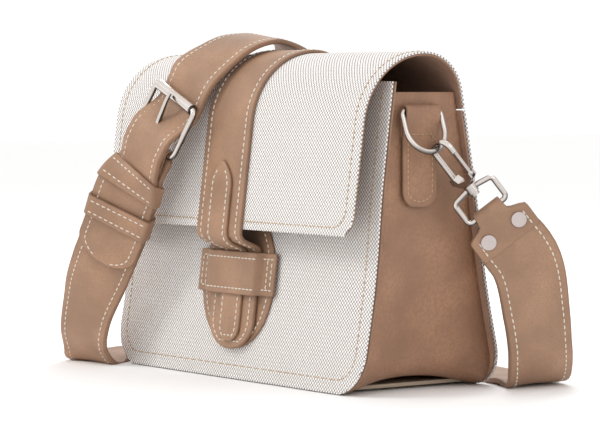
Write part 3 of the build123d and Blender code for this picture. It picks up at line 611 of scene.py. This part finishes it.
def flap_corners(hem_z):
    back = BASE_DEPTH / 2
    slope = LEAN[-1]
    return [
        Vector((back - FLAP_START * LEAN[1], FLAP_START)),
        Vector((back - FLAP_TOP * LEAN[1], FLAP_TOP)),
        Vector((HEM_Y + (FLAP_TOP - FLAP_HEM) * slope, FLAP_TOP)),
        Vector((HEM_Y + (hem_z - FLAP_HEM) * slope, hem_z)),
    ]


class Outline:
    """A side outline with its outward normals and the length run so far."""

    def __init__(self, points):
        self.points = points
        self.reach = [0.0]
        for p, q in zip(points, points[1:]):
            self.reach.append(self.reach[-1] + (q - p).length)
        self.length = self.reach[-1]

    def at(self, s, lift=0.0):
        """(y, z) and the outward normal at a length s, lifted out of the outline."""
        s = min(max(s, 0.0), self.length)
        index = 0
        while index < len(self.reach) - 2 and self.reach[index + 1] < s:
            index += 1
        share = (s - self.reach[index]) / (self.reach[index + 1] - self.reach[index])
        here = self.points[index].lerp(self.points[index + 1], share)

        def run_at(k):
            k = min(max(k, 0), len(self.points) - 2)
            return (self.points[k + 1] - self.points[k]).normalized()

        before = run_at(index - 1) if share < 0.5 else run_at(index)
        after = run_at(index) if share < 0.5 else run_at(index + 1)
        weight = share + 0.5 if share < 0.5 else share - 0.5
        run = before.lerp(after, weight).normalized()
        out = Vector((-run.y, run.x)) * -1
        out = out if out.length else Vector((0, 1))
        return here + out * lift, out

    def place(self, s, x, lift=0.0):
        here, out = self.at(s, lift)
        return Vector((x, here.x, here.y)), Vector((0, out.x, out.y))

    def length_at_height(self, z):
        """Length at which the front of the outline comes down to this height."""
        for k in range(len(self.points) - 1, 0, -1):
            high, low = self.points[k - 1], self.points[k]
            if high.y >= z >= low.y:
                share = (high.y - z) / (high.y - low.y)
                return self.reach[k - 1] + (self.reach[k] - self.reach[k - 1]) * share
        return self.length


flap_line = Outline(rounded(flap_corners(FLAP_HEM), (26 * MM, 44 * MM)))
middle_out = flap_line.at(flap_line.length / 2)[1]
print("flap outline", round(flap_line.length / MM), "mm")
print("outward at its middle", tuple(round(c, 2) for c in middle_out))

# %% [markdown]
# The flap is canvas lined with leather. Its two lower front corners are rounded, and its hem and free
# sides wave a little, as cloth does where nothing holds it.

# %% Flap
FLAP_CORNER = 14 * MM


def flap_half(s, inset):
    left = flap_line.length - s
    half = BAG_WIDTH / 2 - inset
    if left >= FLAP_CORNER:
        return half
    r = FLAP_CORNER
    return half - r + math.sqrt(max(r * r - (r - left) ** 2, 0))


def flap_wave(s, x):
    """Slight waves, which fade out towards the back seam."""
    free = max(0.0, s / flap_line.length - 0.35)
    edge = (abs(x) / (BAG_WIDTH / 2)) ** 4
    return free * (0.9 * MM * noise.noise(Vector((x * 22, s * 16, 7.3))) + edge * 0.5 * MM)


def flap_sheet(name, depth, thickness, inset, face, edge):
    end = flap_line.length - inset
    ss = span(0.0, end - FLAP_CORNER, 46)
    ss += [end - FLAP_CORNER * math.cos(a) for a in span(0, math.pi / 2 - 0.13, 9)][1:]
    rows, flat = [], []
    for s in ss:
        half = flap_half(s + inset, inset)
        xs = span(half, -half, 38)
        rows.append([flap_line.place(s, x, -depth - thickness / 2 + flap_wave(s, x))[0] for x in xs])
        flat.append([(x, s) for x in xs])
    return sheet_mesh(name, rows, thickness, flat, face, edge)


flap_canvas = flap_sheet("flap_canvas_soft", 0.0, 1.2 * MM, 0.6 * MM, canvas, canvas)
flap_lining = flap_sheet("flap_lining_soft", 1.25 * MM, 1.1 * MM, 1.1 * MM, lining_leather, edge_leather)
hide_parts("flap_canvas")
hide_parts("flap_lining")


def flap_seam(inset):
    end = flap_line.length - inset
    corner = FLAP_CORNER - inset / 2
    half = BAG_WIDTH / 2 - inset
    line = [(half, s) for s in span(2 * MM, end - corner, 60)]
    for angle in span(0, math.pi / 2, 8)[1:]:
        line.append((half - corner + corner * math.cos(angle), end - corner + corner * math.sin(angle)))
    line += [(-x, s) for x, s in reversed(line)]
    return [flap_line.place(s, x, 0.05 * MM + flap_wave(s, x)) for x, s in line]


flap_stitch = sew("flap_edge_stitch", [flap_seam(6.5 * MM)], tan_thread, length=3.0 * MM, radius=0.33 * MM)
for piece in (flap_canvas, flap_lining, flap_stitch):
    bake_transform(piece)

# %% [markdown]
# The closure strap is thick leather, sewn to the flap and hanging past its hem. Below the hem it
# steps back to the front panel and tucks into a keeper on a round patch. A narrow pointed overlay is
# sewn on top of it, and both have a rounded lower end.

# %% Closure strap and overlay
CLOSURE_WIDTH = 43 * MM
CLOSURE_TIP = 18 * MM
KEEPER_TOP = 74 * MM
stand_off = (PATCH_LEATHER + GAP) * math.sqrt(1 + LEAN[-1] ** 2)


def tongue_corner(z):
    return Vector((-BASE_DEPTH / 2 + z * LEAN[-1] - stand_off, z))


closure_line = Outline(rounded(
    flap_corners(FLAP_HEM - GAP - 2.8 * MM)
    + [tongue_corner(KEEPER_TOP + 3 * MM), tongue_corner(CLOSURE_TIP)],
    (26 * MM, 44 * MM, 4 * MM, 4 * MM), step=1.4 * MM,
))
closure_start = closure_line.length_at_height(FLAP_TOP - 0.01 * MM) - 14 * MM


def tapered(low, high, half, start_round, end_round, count):
    """(length, half width) marks of a strip whose ends are rounded over the given lengths."""
    marks = []
    if start_round:
        marks += [(low + start_round * (1 - math.cos(a)), half * math.sin(a))
                  for a in span(0.2, math.pi / 2, 8)]
    else:
        marks.append((low, half))
    marks += [(s, half) for s in span(low + start_round, high - end_round, count)[1:-1]]
    if end_round:
        marks += [(high - end_round * (1 - math.cos(a)), half * math.sin(a))
                  for a in span(math.pi / 2, 0.2, 9)]
    else:
        marks.append((high, half))
    return marks


def strip(name, line, marks, lift, thickness, face, edge, columns=9, crown=0.0):
    """A strip of leather along a line, with a slight crown across its width."""
    rows, flat = [], []
    for s, half in marks:
        xs = span(half, -half, columns)
        rows.append([line.place(s, x, lift + thickness / 2 + crown * (1 - (x / half) ** 2))[0] for x in xs])
        flat.append([(x, s) for x in xs])
    return sheet_mesh(name, rows, thickness, flat, face, edge, 0.35)


closure_half = CLOSURE_WIDTH / 2
closure_marks = tapered(closure_start, closure_line.length, closure_half, 0, 17 * MM, 70)
closure = strip("closure_strap_soft", closure_line, closure_marks, 0.05 * MM, CLOSURE_LEATHER - 0.2 * MM,
                strap_leather, edge_leather)
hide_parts("closure_strap")
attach(closure, "flap")

OVERLAY_HALF = 10 * MM
overlay_low = closure_line.length - 4 * MM
overlay_high = closure_line.length_at_height(126 * MM)
overlay_marks = [(overlay_high + 14 * MM * k, OVERLAY_HALF * math.sin(k * math.pi / 2) ** 0.8)
                 for k in span(0.03, 1, 10)]
overlay_marks += tapered(overlay_high + 14 * MM, overlay_low, OVERLAY_HALF, 0, 9 * MM, 44)[1:]
overlay = strip("closure_overlay_soft", closure_line, overlay_marks, CLOSURE_LEATHER - 0.1 * MM,
                OVERLAY_LEATHER, strap_leather, edge_leather, 7, 0.35 * MM)
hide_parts("closure_overlay")
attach(overlay, "flap")


def round_the_tip(line, marks, inset, lift):
    """Down one side of a strip, round its end and back up the other side."""
    right = [(half - inset, s) for s, half in marks if half > 2.2 * inset]
    cut = right[-1][1] - (inset * 0.4)
    right = [(x, min(s, cut)) for x, s in right]
    tip = [(right[-1][0] * k, cut) for k in span(0.9, -0.9, 7)]
    path = right + tip + [(-x, s) for x, s in reversed(right)]
    return [line.place(s, x, lift) for x, s in path]


closure_stitch = sew("closure_stitch", [
    round_the_tip(closure_line, closure_marks, 4 * MM, CLOSURE_LEATHER - 0.12 * MM),
    round_the_tip(closure_line, overlay_marks, 2.6 * MM, CLOSURE_LEATHER + OVERLAY_LEATHER + 0.05 * MM),
], cream_thread)
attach(closure_stitch, "flap")

# %% [markdown]
# The patch is a round-ended piece of leather sewn flat on the front panel. The keeper is a band over
# it that stands just clear of the closure strap, sewn down at both ends and along its edges.

# %% Patch and keeper
PATCH_HALF = 35 * MM
PATCH_LOW, PATCH_HIGH = 18 * MM, 97.5 * MM


def on_front(x, z, lift):
    return panel_point(-1, x, z, -lift), panel_normal(-1)


patch_marks = tapered(PATCH_LOW, PATCH_HIGH, PATCH_HALF, 38 * MM, 38 * MM, 4)
rows = [[on_front(x, z, 0.1 * MM + PATCH_LEATHER / 2)[0] for x in span(-half, half, 15)]
        for z, half in patch_marks]
flat = [[(x, z) for x in span(-half, half, 15)] for z, half in patch_marks]
patch = sheet_mesh("closure_patch_soft", rows, 1.4 * MM, flat, patch_leather, edge_leather, 0.35)
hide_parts("closure_patch")
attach(patch, "bag")

KEEPER_LOW, KEEPER_HIGH = 50 * MM, 73.6 * MM
RISE_IN, RISE_OUT, WING = 26.5 * MM, 22.5 * MM, 37.5 * MM
KEEPER_LIFT = 6.3 * MM


def keeper_lift(x):
    share = min(max((abs(x) - RISE_OUT) / (RISE_IN - RISE_OUT), 0), 1)
    share = share * share * (3 - 2 * share)
    return KEEPER_LIFT + (PATCH_LEATHER - KEEPER_LIFT) * share + 0.8 * MM


keeper_xs = span(-WING, -RISE_IN, 6) + span(-RISE_IN, -RISE_OUT, 9)[1:-1] + span(-RISE_OUT, RISE_OUT, 14)
keeper_xs += span(RISE_OUT, RISE_IN, 9)[1:-1] + span(RISE_IN, WING, 6)
rows = [[on_front(x, z, keeper_lift(x))[0] for x in keeper_xs] for z in span(KEEPER_LOW, KEEPER_HIGH, 7)]
flat = [[(x, z) for x in keeper_xs] for z in span(KEEPER_LOW, KEEPER_HIGH, 7)]
keeper = sheet_mesh("closure_keeper_soft", rows, 1.5 * MM, flat, strap_leather, edge_leather, 0.35)
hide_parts("closure_keeper")
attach(keeper, "bag")

patch_path = [(half - 4 * MM, z) for z, half in patch_marks if half > 9 * MM]
patch_path = patch_path + [(-x, z) for x, z in reversed(patch_path)] + patch_path[:1]


def keeper_path(inset_x, inset_z):
    x, low, high = WING - inset_x, KEEPER_LOW + inset_z, KEEPER_HIGH - inset_z
    path = [(k, high) for k in span(-x, x, 60)] + [(x, k) for k in span(high, low, 12)[1:]]
    path += [(k, low) for k in span(x, -x, 60)[1:]] + [(-x, k) for k in span(low, high, 12)[1:]]
    return [on_front(px, pz, keeper_lift(px) + 0.85 * MM) for px, pz in path]


inner = [on_front(30.5 * MM, k, PATCH_LEATHER + 1.7 * MM)
         for k in span(KEEPER_HIGH - 3 * MM, KEEPER_LOW + 3 * MM, 10)]
keeper_stitch = sew("keeper_stitch", [
    [on_front(x, z, PATCH_LEATHER - 0.05 * MM) for x, z in patch_path],
    keeper_path(3 * MM, 3 * MM), inner, [(Vector((-p.x, p.y, p.z)), n) for p, n in inner],
], cream_thread)
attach(keeper_stitch, "bag")

# %% [markdown]
# The shoulder strap runs in one smooth line: from the right snap hook to the surface, behind the bag,
# up and over the top, down the front through the buckle, and round to the left hook. Each control
# point also says which way the strap's width lies, so the strap can twist as leather does.

# %% Strap route
STRAP_WIDTH = 38 * MM
STRAP_LEATHER = 3.2 * MM
hook_axis = Vector((0.235, 0.574, -0.783)).normalized()
end_across = Vector((0.453, 0.623, 0.630))
end_across = (end_across - hook_axis * end_across.dot(hook_axis)).normalized()
loop_centre = Vector((141.8145, 24.4813, 100.6206)) * MM
BUCKLE_LENGTH = 31 * MM
roller_point = Vector((-39.0, -62.5, 163.0)) * MM
buckle_along = Vector((-0.38, -0.27, -0.88)).normalized()
buckle_across = (0.914, 0.0, -0.403)


def mirrored(v):
    return Vector((-v[0], v[1], v[2]))


def stations(listed):
    return [(Vector(point) * MM, Vector(across)) for point, across in listed]


end_steps = [loop_centre + hook_axis * (11 * MM * k) for k in range(4)]
right_side = [(p, end_across) for p in end_steps] + stations([
    ((151, 52, 44), (0.30, 0.95, 0.10)), ((150, 56, 20), (0.15, 0.98, 0.0)),
    ((138, 65, 5), (0.0, 1.0, 0.0)), ((114, 74, 2), (0, 1, 0)), ((40, 80, 2), (0, 1, 0)),
    ((-40, 83, 2), (0, 1, 0)), ((-138, 82, 2), (0, 1, 0)),
])
back_leg = stations([
    ((-160, 83, 12), (0, 1, 0)), ((-164, 84, 38), (0, 1, 0)), ((-146, 83, 78), (0.35, 0.90, -0.2)),
    ((-108, 67, 124), (0.65, 0.65, -0.35)), ((-68, 46, 168), (0.87, 0.2, -0.45)),
    ((-38, 22, 191), (0.98, 0, -0.18)), ((-32, -8, 198), (1, -0.05, -0.1)),
    ((-31, -36, 191), (0.97, -0.03, -0.2)),
])
front_leg = [
    (roller_point + buckle_along * (BUCKLE_LENGTH * k / 2), Vector(buckle_across)) for k in (-1, 0, 1, 2, 3)
] + stations([
    ((-64, -80, 108), (0.74, 0.55, -0.38)), ((-77.5, -80, 86), (0.74, 0.56, -0.35)),
    ((-93.5, -81, 62), (0.80, 0.52, -0.30)),
])
front_foot = stations([
    ((-111, -79, 38), (0.93, 0.25, -0.25)), ((-121, -76, 15), (0.97, 0.15, -0.15)),
    ((-128, -66, 3.2), (0.98, 0.18, -0.05)), ((-143, -45, 2), (0.95, 0.30, 0)),
])
left_side = stations([
    ((-154, -16, 2), (0.96, 0.20, 0)), ((-162, 22, 6), (1, 0, 0.1)), ((-162, 50, 30), (0.93, -0.30, -0.2)),
]) + [(mirrored(p), mirrored(end_across) * -1) for p in reversed(end_steps)]


class Run:
    """A smooth strap line through control points, measured by its length."""

    def __init__(self, marks):
        points = [p for p, w in marks]
        self.across = [w.normalized() for p, w in marks]
        self.padded = [points[0] * 2 - points[1], *points, points[-1] * 2 - points[-2]]
        self.last = len(points) - 2
        self.reach = [0.0]
        for index in range(self.last + 1):
            dots = [self.point(index + k / 24) for k in range(25)]
            self.reach.append(self.reach[-1] + sum((q - p).length for p, q in zip(dots, dots[1:])))
        self.length = self.reach[-1]

    def point(self, u):
        index = min(int(u), self.last)
        f = u - index
        a, b, c, d = self.padded[index:index + 4]
        before, here, after = (b - a).length, (c - b).length, (d - c).length
        chord = (c - b) / here
        leave = ((b - a) * (here / before) + chord * before) / (before + here)
        arrive = (chord * after + (d - c) * (here / after)) / (here + after)
        return (b * (1 - 3 * f**2 + 2 * f**3) + leave * (here * (f - 2 * f**2 + f**3))
                + c * (3 * f**2 - 2 * f**3) + arrive * (here * (f**3 - f**2)))

    def frame(self, s):
        """Point, direction along, across and out of the strap's face at a length s."""
        s = min(max(s, 0.0), self.length)
        index = 0
        while index < self.last and self.reach[index + 1] < s:
            index += 1
        u = index + (s - self.reach[index]) / (self.reach[index + 1] - self.reach[index])
        along = (self.point(u + 0.02) - self.point(max(u - 0.02, 0))).normalized()
        k = min(int(u), self.last)
        across = self.across[k].lerp(self.across[k + 1], u - k)
        across = (across - along * across.dot(along)).normalized()
        return self.point(u), along, across, along.cross(across)

    def place(self, s, x, lift=0.0):
        here, along, across, out = self.frame(s)
        return here + across * x + out * lift, out


long_run = Run(right_side + back_leg + front_leg)
buckle_run = Run(back_leg[-1:] + front_leg + front_foot + left_side)
long_foot = long_run.reach[len(right_side) - 1]
roller_long = long_run.reach[len(right_side) + len(back_leg) + 1]
roller_s = buckle_run.reach[2]
heel_s = roller_s + BUCKLE_LENGTH
buckle_foot = buckle_run.reach[len(front_leg) + 3]
print("long strap", round(long_run.length / MM), "mm")
print("buckle strap", round((buckle_run.length - heel_s) / MM), "mm")

# %% [markdown]
# The strap is two lengths of leather. The long one goes behind the buckle's roller, up through the
# frame and down over the heel bar. The buckle strap folds round the heel bar and lies under it. The
# heights below say how far each lies out of the common line.

# %% Heights of the two layers
HEEL_ROOM = 2.1 * MM
FOLD = 1.6 * MM
behind_roller = -(3.2 * MM + GAP + STRAP_LEATHER / 2)
over_heel = HEEL_ROOM + FOLD + GAP + STRAP_LEATHER / 2
below_fold = -HEEL_ROOM - FOLD + STRAP_LEATHER / 2
on_top = below_fold + STRAP_LEATHER + GAP


def ease(s, marks):
    if s <= marks[0][0]:
        return marks[0][1]
    for (s0, v0), (s1, v1) in zip(marks, marks[1:]):
        if s <= s1:
            f = (s - s0) / (s1 - s0)
            return v0 + (v1 - v0) * f * f * (3 - 2 * f)
    return marks[-1][1]


TONGUE = [(-60 * MM, 0.0), (-6 * MM, behind_roller), (4 * MM, behind_roller),
          (BUCKLE_LENGTH - 5 * MM, over_heel), (BUCKLE_LENGTH + 3 * MM, over_heel),
          (BUCKLE_LENGTH + 21 * MM, on_top)]


def tongue_lift(s):
    return ease(s - roller_long, TONGUE)


def lower_lift(s):
    return ease(s - heel_s, [(0, below_fold), (78 * MM, below_fold), (117 * MM, 0.0)])


def strap_strip(name, run, marks, lift, face=strap_leather, thickness=STRAP_LEATHER - 0.2 * MM, columns=11):
    """A length of strap with a slight crown, as marks of (length, half width)."""
    rows, flat = [], []
    for s, half in marks:
        xs = span(-half, half, columns)
        row = []
        for x in xs:
            give = 0.25 * MM * noise.noise(Vector((x * 40, s * 26, 2.0)))
            row.append(run.place(s, x, lift(s) - 0.25 * MM * (x / half) ** 2 + give * 0.5)[0])
        rows.append(row)
        flat.append([(x, s) for x in xs])
    return sheet_mesh(name, rows, thickness, flat, face, edge_leather, 0.35)


def strap_seams(run, marks, lift, inset=3.6 * MM):
    face = STRAP_LEATHER / 2 - 0.12 * MM
    lines = []
    for side in (-1, 1):
        lines.append([run.place(s, side * (half - inset), lift(s) + face - 0.2 * MM)
                      for s, half in marks if half > 2 * inset])
    return lines


# %% [markdown]
# Both lengths of strap leave the surface at the left, which is where the strap swings when it is
# lifted off the bag. The leather bends there. The lengths on the surface are held to the bag, and the
# lengths above it are held to nothing.

# %% Long strap
HALF = STRAP_WIDTH / 2
END_LENGTH = 22 * MM
TAIL_ROUND = 12 * MM
TAIL_SPARE = 4 * MM
OVERLAP = 2 * MM


def level(s):
    return 0.0


def strap_length(node, run, marks, lift):
    """One length of strap and the stitches along its edges. It stands for a node."""
    strip = strap_strip(f"{node}_soft", run, marks, lift)
    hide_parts(node)
    return strip, sew(f"{node}_stitch", strap_seams(run, marks, lift), cream_thread)


def bend_at(pieces):
    """The pieces keep their place, with their transforms baked into the meshes."""
    for piece in pieces:
        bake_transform(piece)


def lie_still(pieces):
    for piece in pieces:
        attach(piece, "bag")


tail_end = long_run.length - TAIL_SPARE
floor_marks = [(s, HALF) for s in span(END_LENGTH, long_foot + OVERLAP, 90)]
lie_still(strap_length("long_strap_floor", long_run, floor_marks, level))
drape_marks = [(s, HALF) for s in span(long_foot, tail_end - TAIL_ROUND, 150)]
drape_marks += [(tail_end - TAIL_ROUND + TAIL_ROUND * math.sin(a), HALF * math.cos(a))
                for a in span(0, 1.38, 10)[1:]]
drape = strap_length("long_strap_drape", long_run, drape_marks, tongue_lift)
bend_at(drape)

# %% [markdown]
# The buckle strap starts under the fold at the heel bar. Its front length runs down from the buckle to
# the surface, and its side length lies beside the bag up to the left hook. A thin folded strip wraps
# the heel bar.

# %% Buckle strap
FOLD_START = 3 * MM
side_end = buckle_run.length - END_LENGTH
front_marks = [(s, HALF) for s in span(heel_s + FOLD_START, buckle_foot + OVERLAP, 64)]
side_marks = [(s, HALF) for s in span(buckle_foot, side_end, 60)]
front = strap_length("buckle_strap_front", buckle_run, front_marks, lower_lift)
lie_still(strap_length("buckle_strap_side", buckle_run, side_marks, level))
bend_at(front)

heel_here, heel_along, heel_across, heel_out = buckle_run.frame(heel_s)
fold_line = [Vector((6 * MM, -(HEEL_ROOM + FOLD / 2)))]
fold_line += [Vector((-(HEEL_ROOM + FOLD / 2) * math.sin(a), -(HEEL_ROOM + FOLD / 2) * math.cos(a)))
              for a in span(0, math.pi, 14)]
fold_line += [Vector((13 * MM, below_fold + STRAP_LEATHER / 2 + FOLD / 2 + 0.2 * MM))]
rows, flat, reach = [], [], 0.0
for k, p in enumerate(fold_line):
    reach += (p - fold_line[k - 1]).length if k else 0.0
    xs = span(-HALF + 0.6 * MM, HALF - 0.6 * MM, 9)
    rows.append([heel_here + heel_along * p.x + heel_out * p.y + heel_across * x for x in xs])
    flat.append([(x, reach) for x in xs])
buckle_fold = sheet_mesh("buckle_fold_soft", rows, FOLD - 0.1 * MM, flat, strap_leather, edge_leather, 0.35)
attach(buckle_fold, "strap")
# %% [markdown]
# Two narrow loops hold the two lengths together below the buckle. Each is a closed band that follows
# the twist of the strap, sewn along both of its long edges.

# %% Strap loops
LOOP_BAND = 13 * MM
loop_middle = (below_fold + on_top) / 2


def band_outline(half_x, half_y, radius, count=7):
    """A rounded rectangle as (across, out) pairs."""
    path = []
    for cx, cy, turn in ((1, 1, 0), (-1, 1, 1), (-1, -1, 2), (1, -1, 3)):
        for a in span(0, math.pi / 2, count):
            angle = a + turn * math.pi / 2
            path.append((cx * (half_x - radius) + radius * math.cos(angle),
                         cy * (half_y - radius) + radius * math.sin(angle)))
    return path


for word, distance in (("upper", 56 * MM), ("lower", 81 * MM)):
    inner_x = HALF + 0.7 * MM
    inner_y = STRAP_LEATHER + GAP / 2 + 0.7 * MM
    ring = band_outline(inner_x + 0.8 * MM, inner_y + 0.8 * MM, 2.2 * MM)
    filled = []
    for (x0, y0), (x1, y1) in zip(ring, ring[1:] + ring[:1]):
        pieces = max(1, round(math.hypot(x1 - x0, y1 - y0) / (3 * MM)))
        filled += [(x0 + (x1 - x0) * k / pieces, y0 + (y1 - y0) * k / pieces) for k in range(pieces)]
    filled.append(filled[0])
    rows, flat, lines = [], [], [[], []]
    for s in span(roller_s + distance - LOOP_BAND / 2, roller_s + distance + LOOP_BAND / 2, 6):
        here, along, across, out = buckle_run.frame(s)
        rows.append([here + across * x + out * (y + loop_middle) for x, y in filled])
        flat.append([(k * 3 * MM, s) for k in range(len(filled))])
    rows = [list(reversed(row)) for row in rows]
    loop = sheet_mesh(f"strap_loop_{word}_soft", rows, 1.5 * MM, flat, strap_leather, edge_leather, 0.35)
    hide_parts(f"strap_loop_{word}")
    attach(loop, "strap")
    for side, line in zip((-1, 1), lines):
        s = roller_s + distance + side * (LOOP_BAND / 2 - 2.6 * MM)
        here, along, across, out = buckle_run.frame(s)
        top = inner_y + 1.5 * MM
        for x in span(-inner_x + 1 * MM, inner_x - 1 * MM, 24):
            line.append((here + across * x + out * (loop_middle + top), out))
    stitch = sew(f"strap_loop_{word}_stitch", lines, cream_thread)
    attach(stitch, "strap")

# %% [markdown]
# Each end of the shoulder strap narrows to a neck, folds through the swivel's loop and is held by two
# rivets. The end is one strip that starts at full width, narrows, goes round the loop's wire and comes
# back behind itself.

# %% Riveted strap ends
LOOP_ROOM = 1.9 * MM
SHOULDER = 9 * MM
END_OVERLAP = 22.5 * MM
END_SKIN = 0.02 * MM


def end_half(s):
    return ease(s, [(0, 8.5 * MM), (4.5 * MM, 9.2 * MM), (9.5 * MM, HALF)])


def strap_end(name, flip):
    out = hook_axis.cross(end_across)
    bend = LOOP_ROOM + FOLD / 2

    def spread(s):
        return FOLD / 2 + (bend - FOLD / 2) * (1 - s / SHOULDER)

    path = [(s, FOLD / 2 + END_SKIN) for s in span(END_OVERLAP, SHOULDER, 9)]
    path += [(s, spread(s)) for s in span(SHOULDER, 0, 7)[1:]]
    path += [(-bend * math.sin(a), bend * math.cos(a)) for a in span(0, math.pi, 13)[1:]]
    path += [(s, -spread(s)) for s in span(0, SHOULDER, 7)[1:]]
    path += [(s, -FOLD / 2 - END_SKIN) for s in span(SHOULDER, END_OVERLAP, 9)[1:]]
    rows, flat, run = [], [], 0.0
    for k, (s, lift) in enumerate(path):
        run += math.hypot(s - path[k - 1][0], lift - path[k - 1][1]) if k else 0.0
        half = end_half(max(s, 0.0))
        xs = span(half, -half, 11)
        if flip:
            xs = xs[::-1]
        row = [loop_centre + hook_axis * s + out * lift + end_across * x for x in xs]
        rows.append([mirrored(p) for p in row] if flip else row)
        flat.append([(x, run) for x in xs])
    return sheet_mesh(name, rows, FOLD - 0.05 * MM, flat, strap_leather, edge_leather, 0.3)


for word, flip in (("right", False), ("left", True)):
    end = strap_end(f"strap_end_{word}", flip)
    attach(end, "bag")
    out = hook_axis.cross(end_across)
    path = [(9.5 * MM, 3.5 * MM), (9.5 * MM, HALF - 4 * MM), (22 * MM, HALF - 3.6 * MM)]
    lines = []
    for side in (-1, 1):
        pairs = []
        for (s0, x0), (s1, x1) in zip(path, path[1:]):
            for k in range(8):
                s, x = s0 + (s1 - s0) * k / 8, side * (x0 + (x1 - x0) * k / 8)
                p = loop_centre + hook_axis * s + end_across * x + out * (FOLD + 0.02 * MM)
                pairs.append((mirrored(p), mirrored(out)) if flip else (p, out))
        lines.append(pairs[9:])
    stitch = sew(f"strap_end_{word}_stitch", lines, cream_thread)
    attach(stitch, "bag")

# %% [markdown]
# A folded tab on each gusset holds the D-ring. The outer layer comes down over the ring's bar, meets
# the inner layer and is sewn round its edge, with a second row just below the ring.

# %% Ring tabs
TAB_Y, TAB_HALF, TAB_LOW = -9 * MM, 11.5 * MM, 103 * MM
TAB_LEATHER = 1.6 * MM
TAB_ROUND = 9 * MM
TAB_MEET = 141 * MM
TAB_SWELL = 0.35 * MM
BAR_X, BAR_Z, BAR_ROOM = 123.9 * MM, 156 * MM, 1.8 * MM


def tab_piece(name, flip):
    bend = BAR_ROOM + TAB_LEATHER / 2
    path = [(GUSSET_X + TAB_LEATHER / 2, z) for z in span(142 * MM, BAR_Z, 5)]
    path += [(BAR_X - bend * math.cos(a), BAR_Z + bend * math.sin(a)) for a in span(0, math.pi, 13)[1:]]
    low_x = GUSSET_X + TAB_LEATHER * 1.5
    for z in span(BAR_Z, TAB_MEET, 8)[1:]:
        share = (BAR_Z - z) / (BAR_Z - TAB_MEET)
        share = share * share * (3 - 2 * share)
        path.append((BAR_X + bend + (low_x - BAR_X - bend) * share, z))
    path += [(low_x, z) for z in span(TAB_MEET, TAB_LOW + TAB_ROUND, 12)[1:]]
    widths = [TAB_HALF - 0.2 * MM] * len(path)
    for a in span(0, 1.4, 8)[1:]:
        path.append((low_x, TAB_LOW + TAB_ROUND - 8.8 * MM * math.sin(a)))
        widths.append((TAB_HALF - 0.2 * MM) * max(math.cos(a) ** 0.7, 0.2))
    rows, flat, run = [], [], 0.0
    for k, ((x, z), half) in enumerate(zip(path, widths)):
        run += math.hypot(x - path[k - 1][0], z - path[k - 1][1]) if k else 0.0
        ys = span(-half, half, 9)
        if flip:
            ys = ys[::-1]
        rows.append([Vector((-x if flip else x, TAB_Y + y, z)) for y in ys])
        flat.append([(y, run) for y in ys])
    return sheet_mesh(name, rows, TAB_LEATHER - 0.1 * MM, flat, gusset_leather, edge_leather, 0.35)


for word, sign in (("right", 1), ("left", -1)):
    tab = tab_piece(f"ring_tab_{word}_soft", sign < 0)
    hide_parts(f"ring_tab_{word}")
    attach(tab, "bag")
    face = GUSSET_X + 2 * TAB_LEATHER - 0.1 * MM
    out = Vector((sign, 0, 0))
    half = TAB_HALF - 3 * MM
    side = [(half, z) for z in span(143 * MM, TAB_LOW + TAB_ROUND, 14)]
    turn = [(half * math.cos(a), TAB_LOW + TAB_ROUND - 6 * MM * math.sin(a))
            for a in span(0, math.pi, 12)[1:]]
    border = side + turn + [(-half, z) for z in span(TAB_LOW + TAB_ROUND, 143 * MM, 14)[1:]]
    border += [(y, 143 * MM) for y in span(-half, half, 8)[1:]]
    line = []
    for y, z in border:
        swell = TAB_SWELL if z > 140 * MM else 0
        line.append((Vector((sign * (face + swell), TAB_Y + y, z)), out))
    stitch = sew(f"ring_tab_{word}_stitch", [line], tan_thread, pitch=3 * MM, length=2.2 * MM,
                 radius=0.3 * MM)
    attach(stitch, "bag")

# %% [markdown]
# The metal stays as the measured model has it, with a nickel finish. The rivets are duller, and the
# hidden stiffener in the base is plain card.

# %% Metal and hidden pieces
for name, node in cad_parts.items():
    if node.hide_render:
        continue
    finish = rivet_metal if "rivet" in name else card if name == "base_board" else nickel
    if not node.data.materials:
        node.data.materials.append(finish)
    for slot in node.material_slots:
        slot.material = finish
    print(name, finish.name)

# %% [markdown]
# A wide pale floor just under the bag catches its soft shadow. It belongs to the stage and isn't part
# of the bag.

# %% Floor
floor_mesh = bpy.data.meshes.new("floor")
floor_mesh.from_pydata([(-6, -6, 0), (6, -6, 0), (6, 6, 0), (-6, 6, 0)], [], [(0, 1, 2, 3)])
floor_finish = Recipe("floor").set(color=(0.96, 0.96, 0.96), rough=0.9)
floor_mesh.materials.append(floor_finish)
floor = add_object("floor", floor_mesh)
floor.location.z = -0.0002
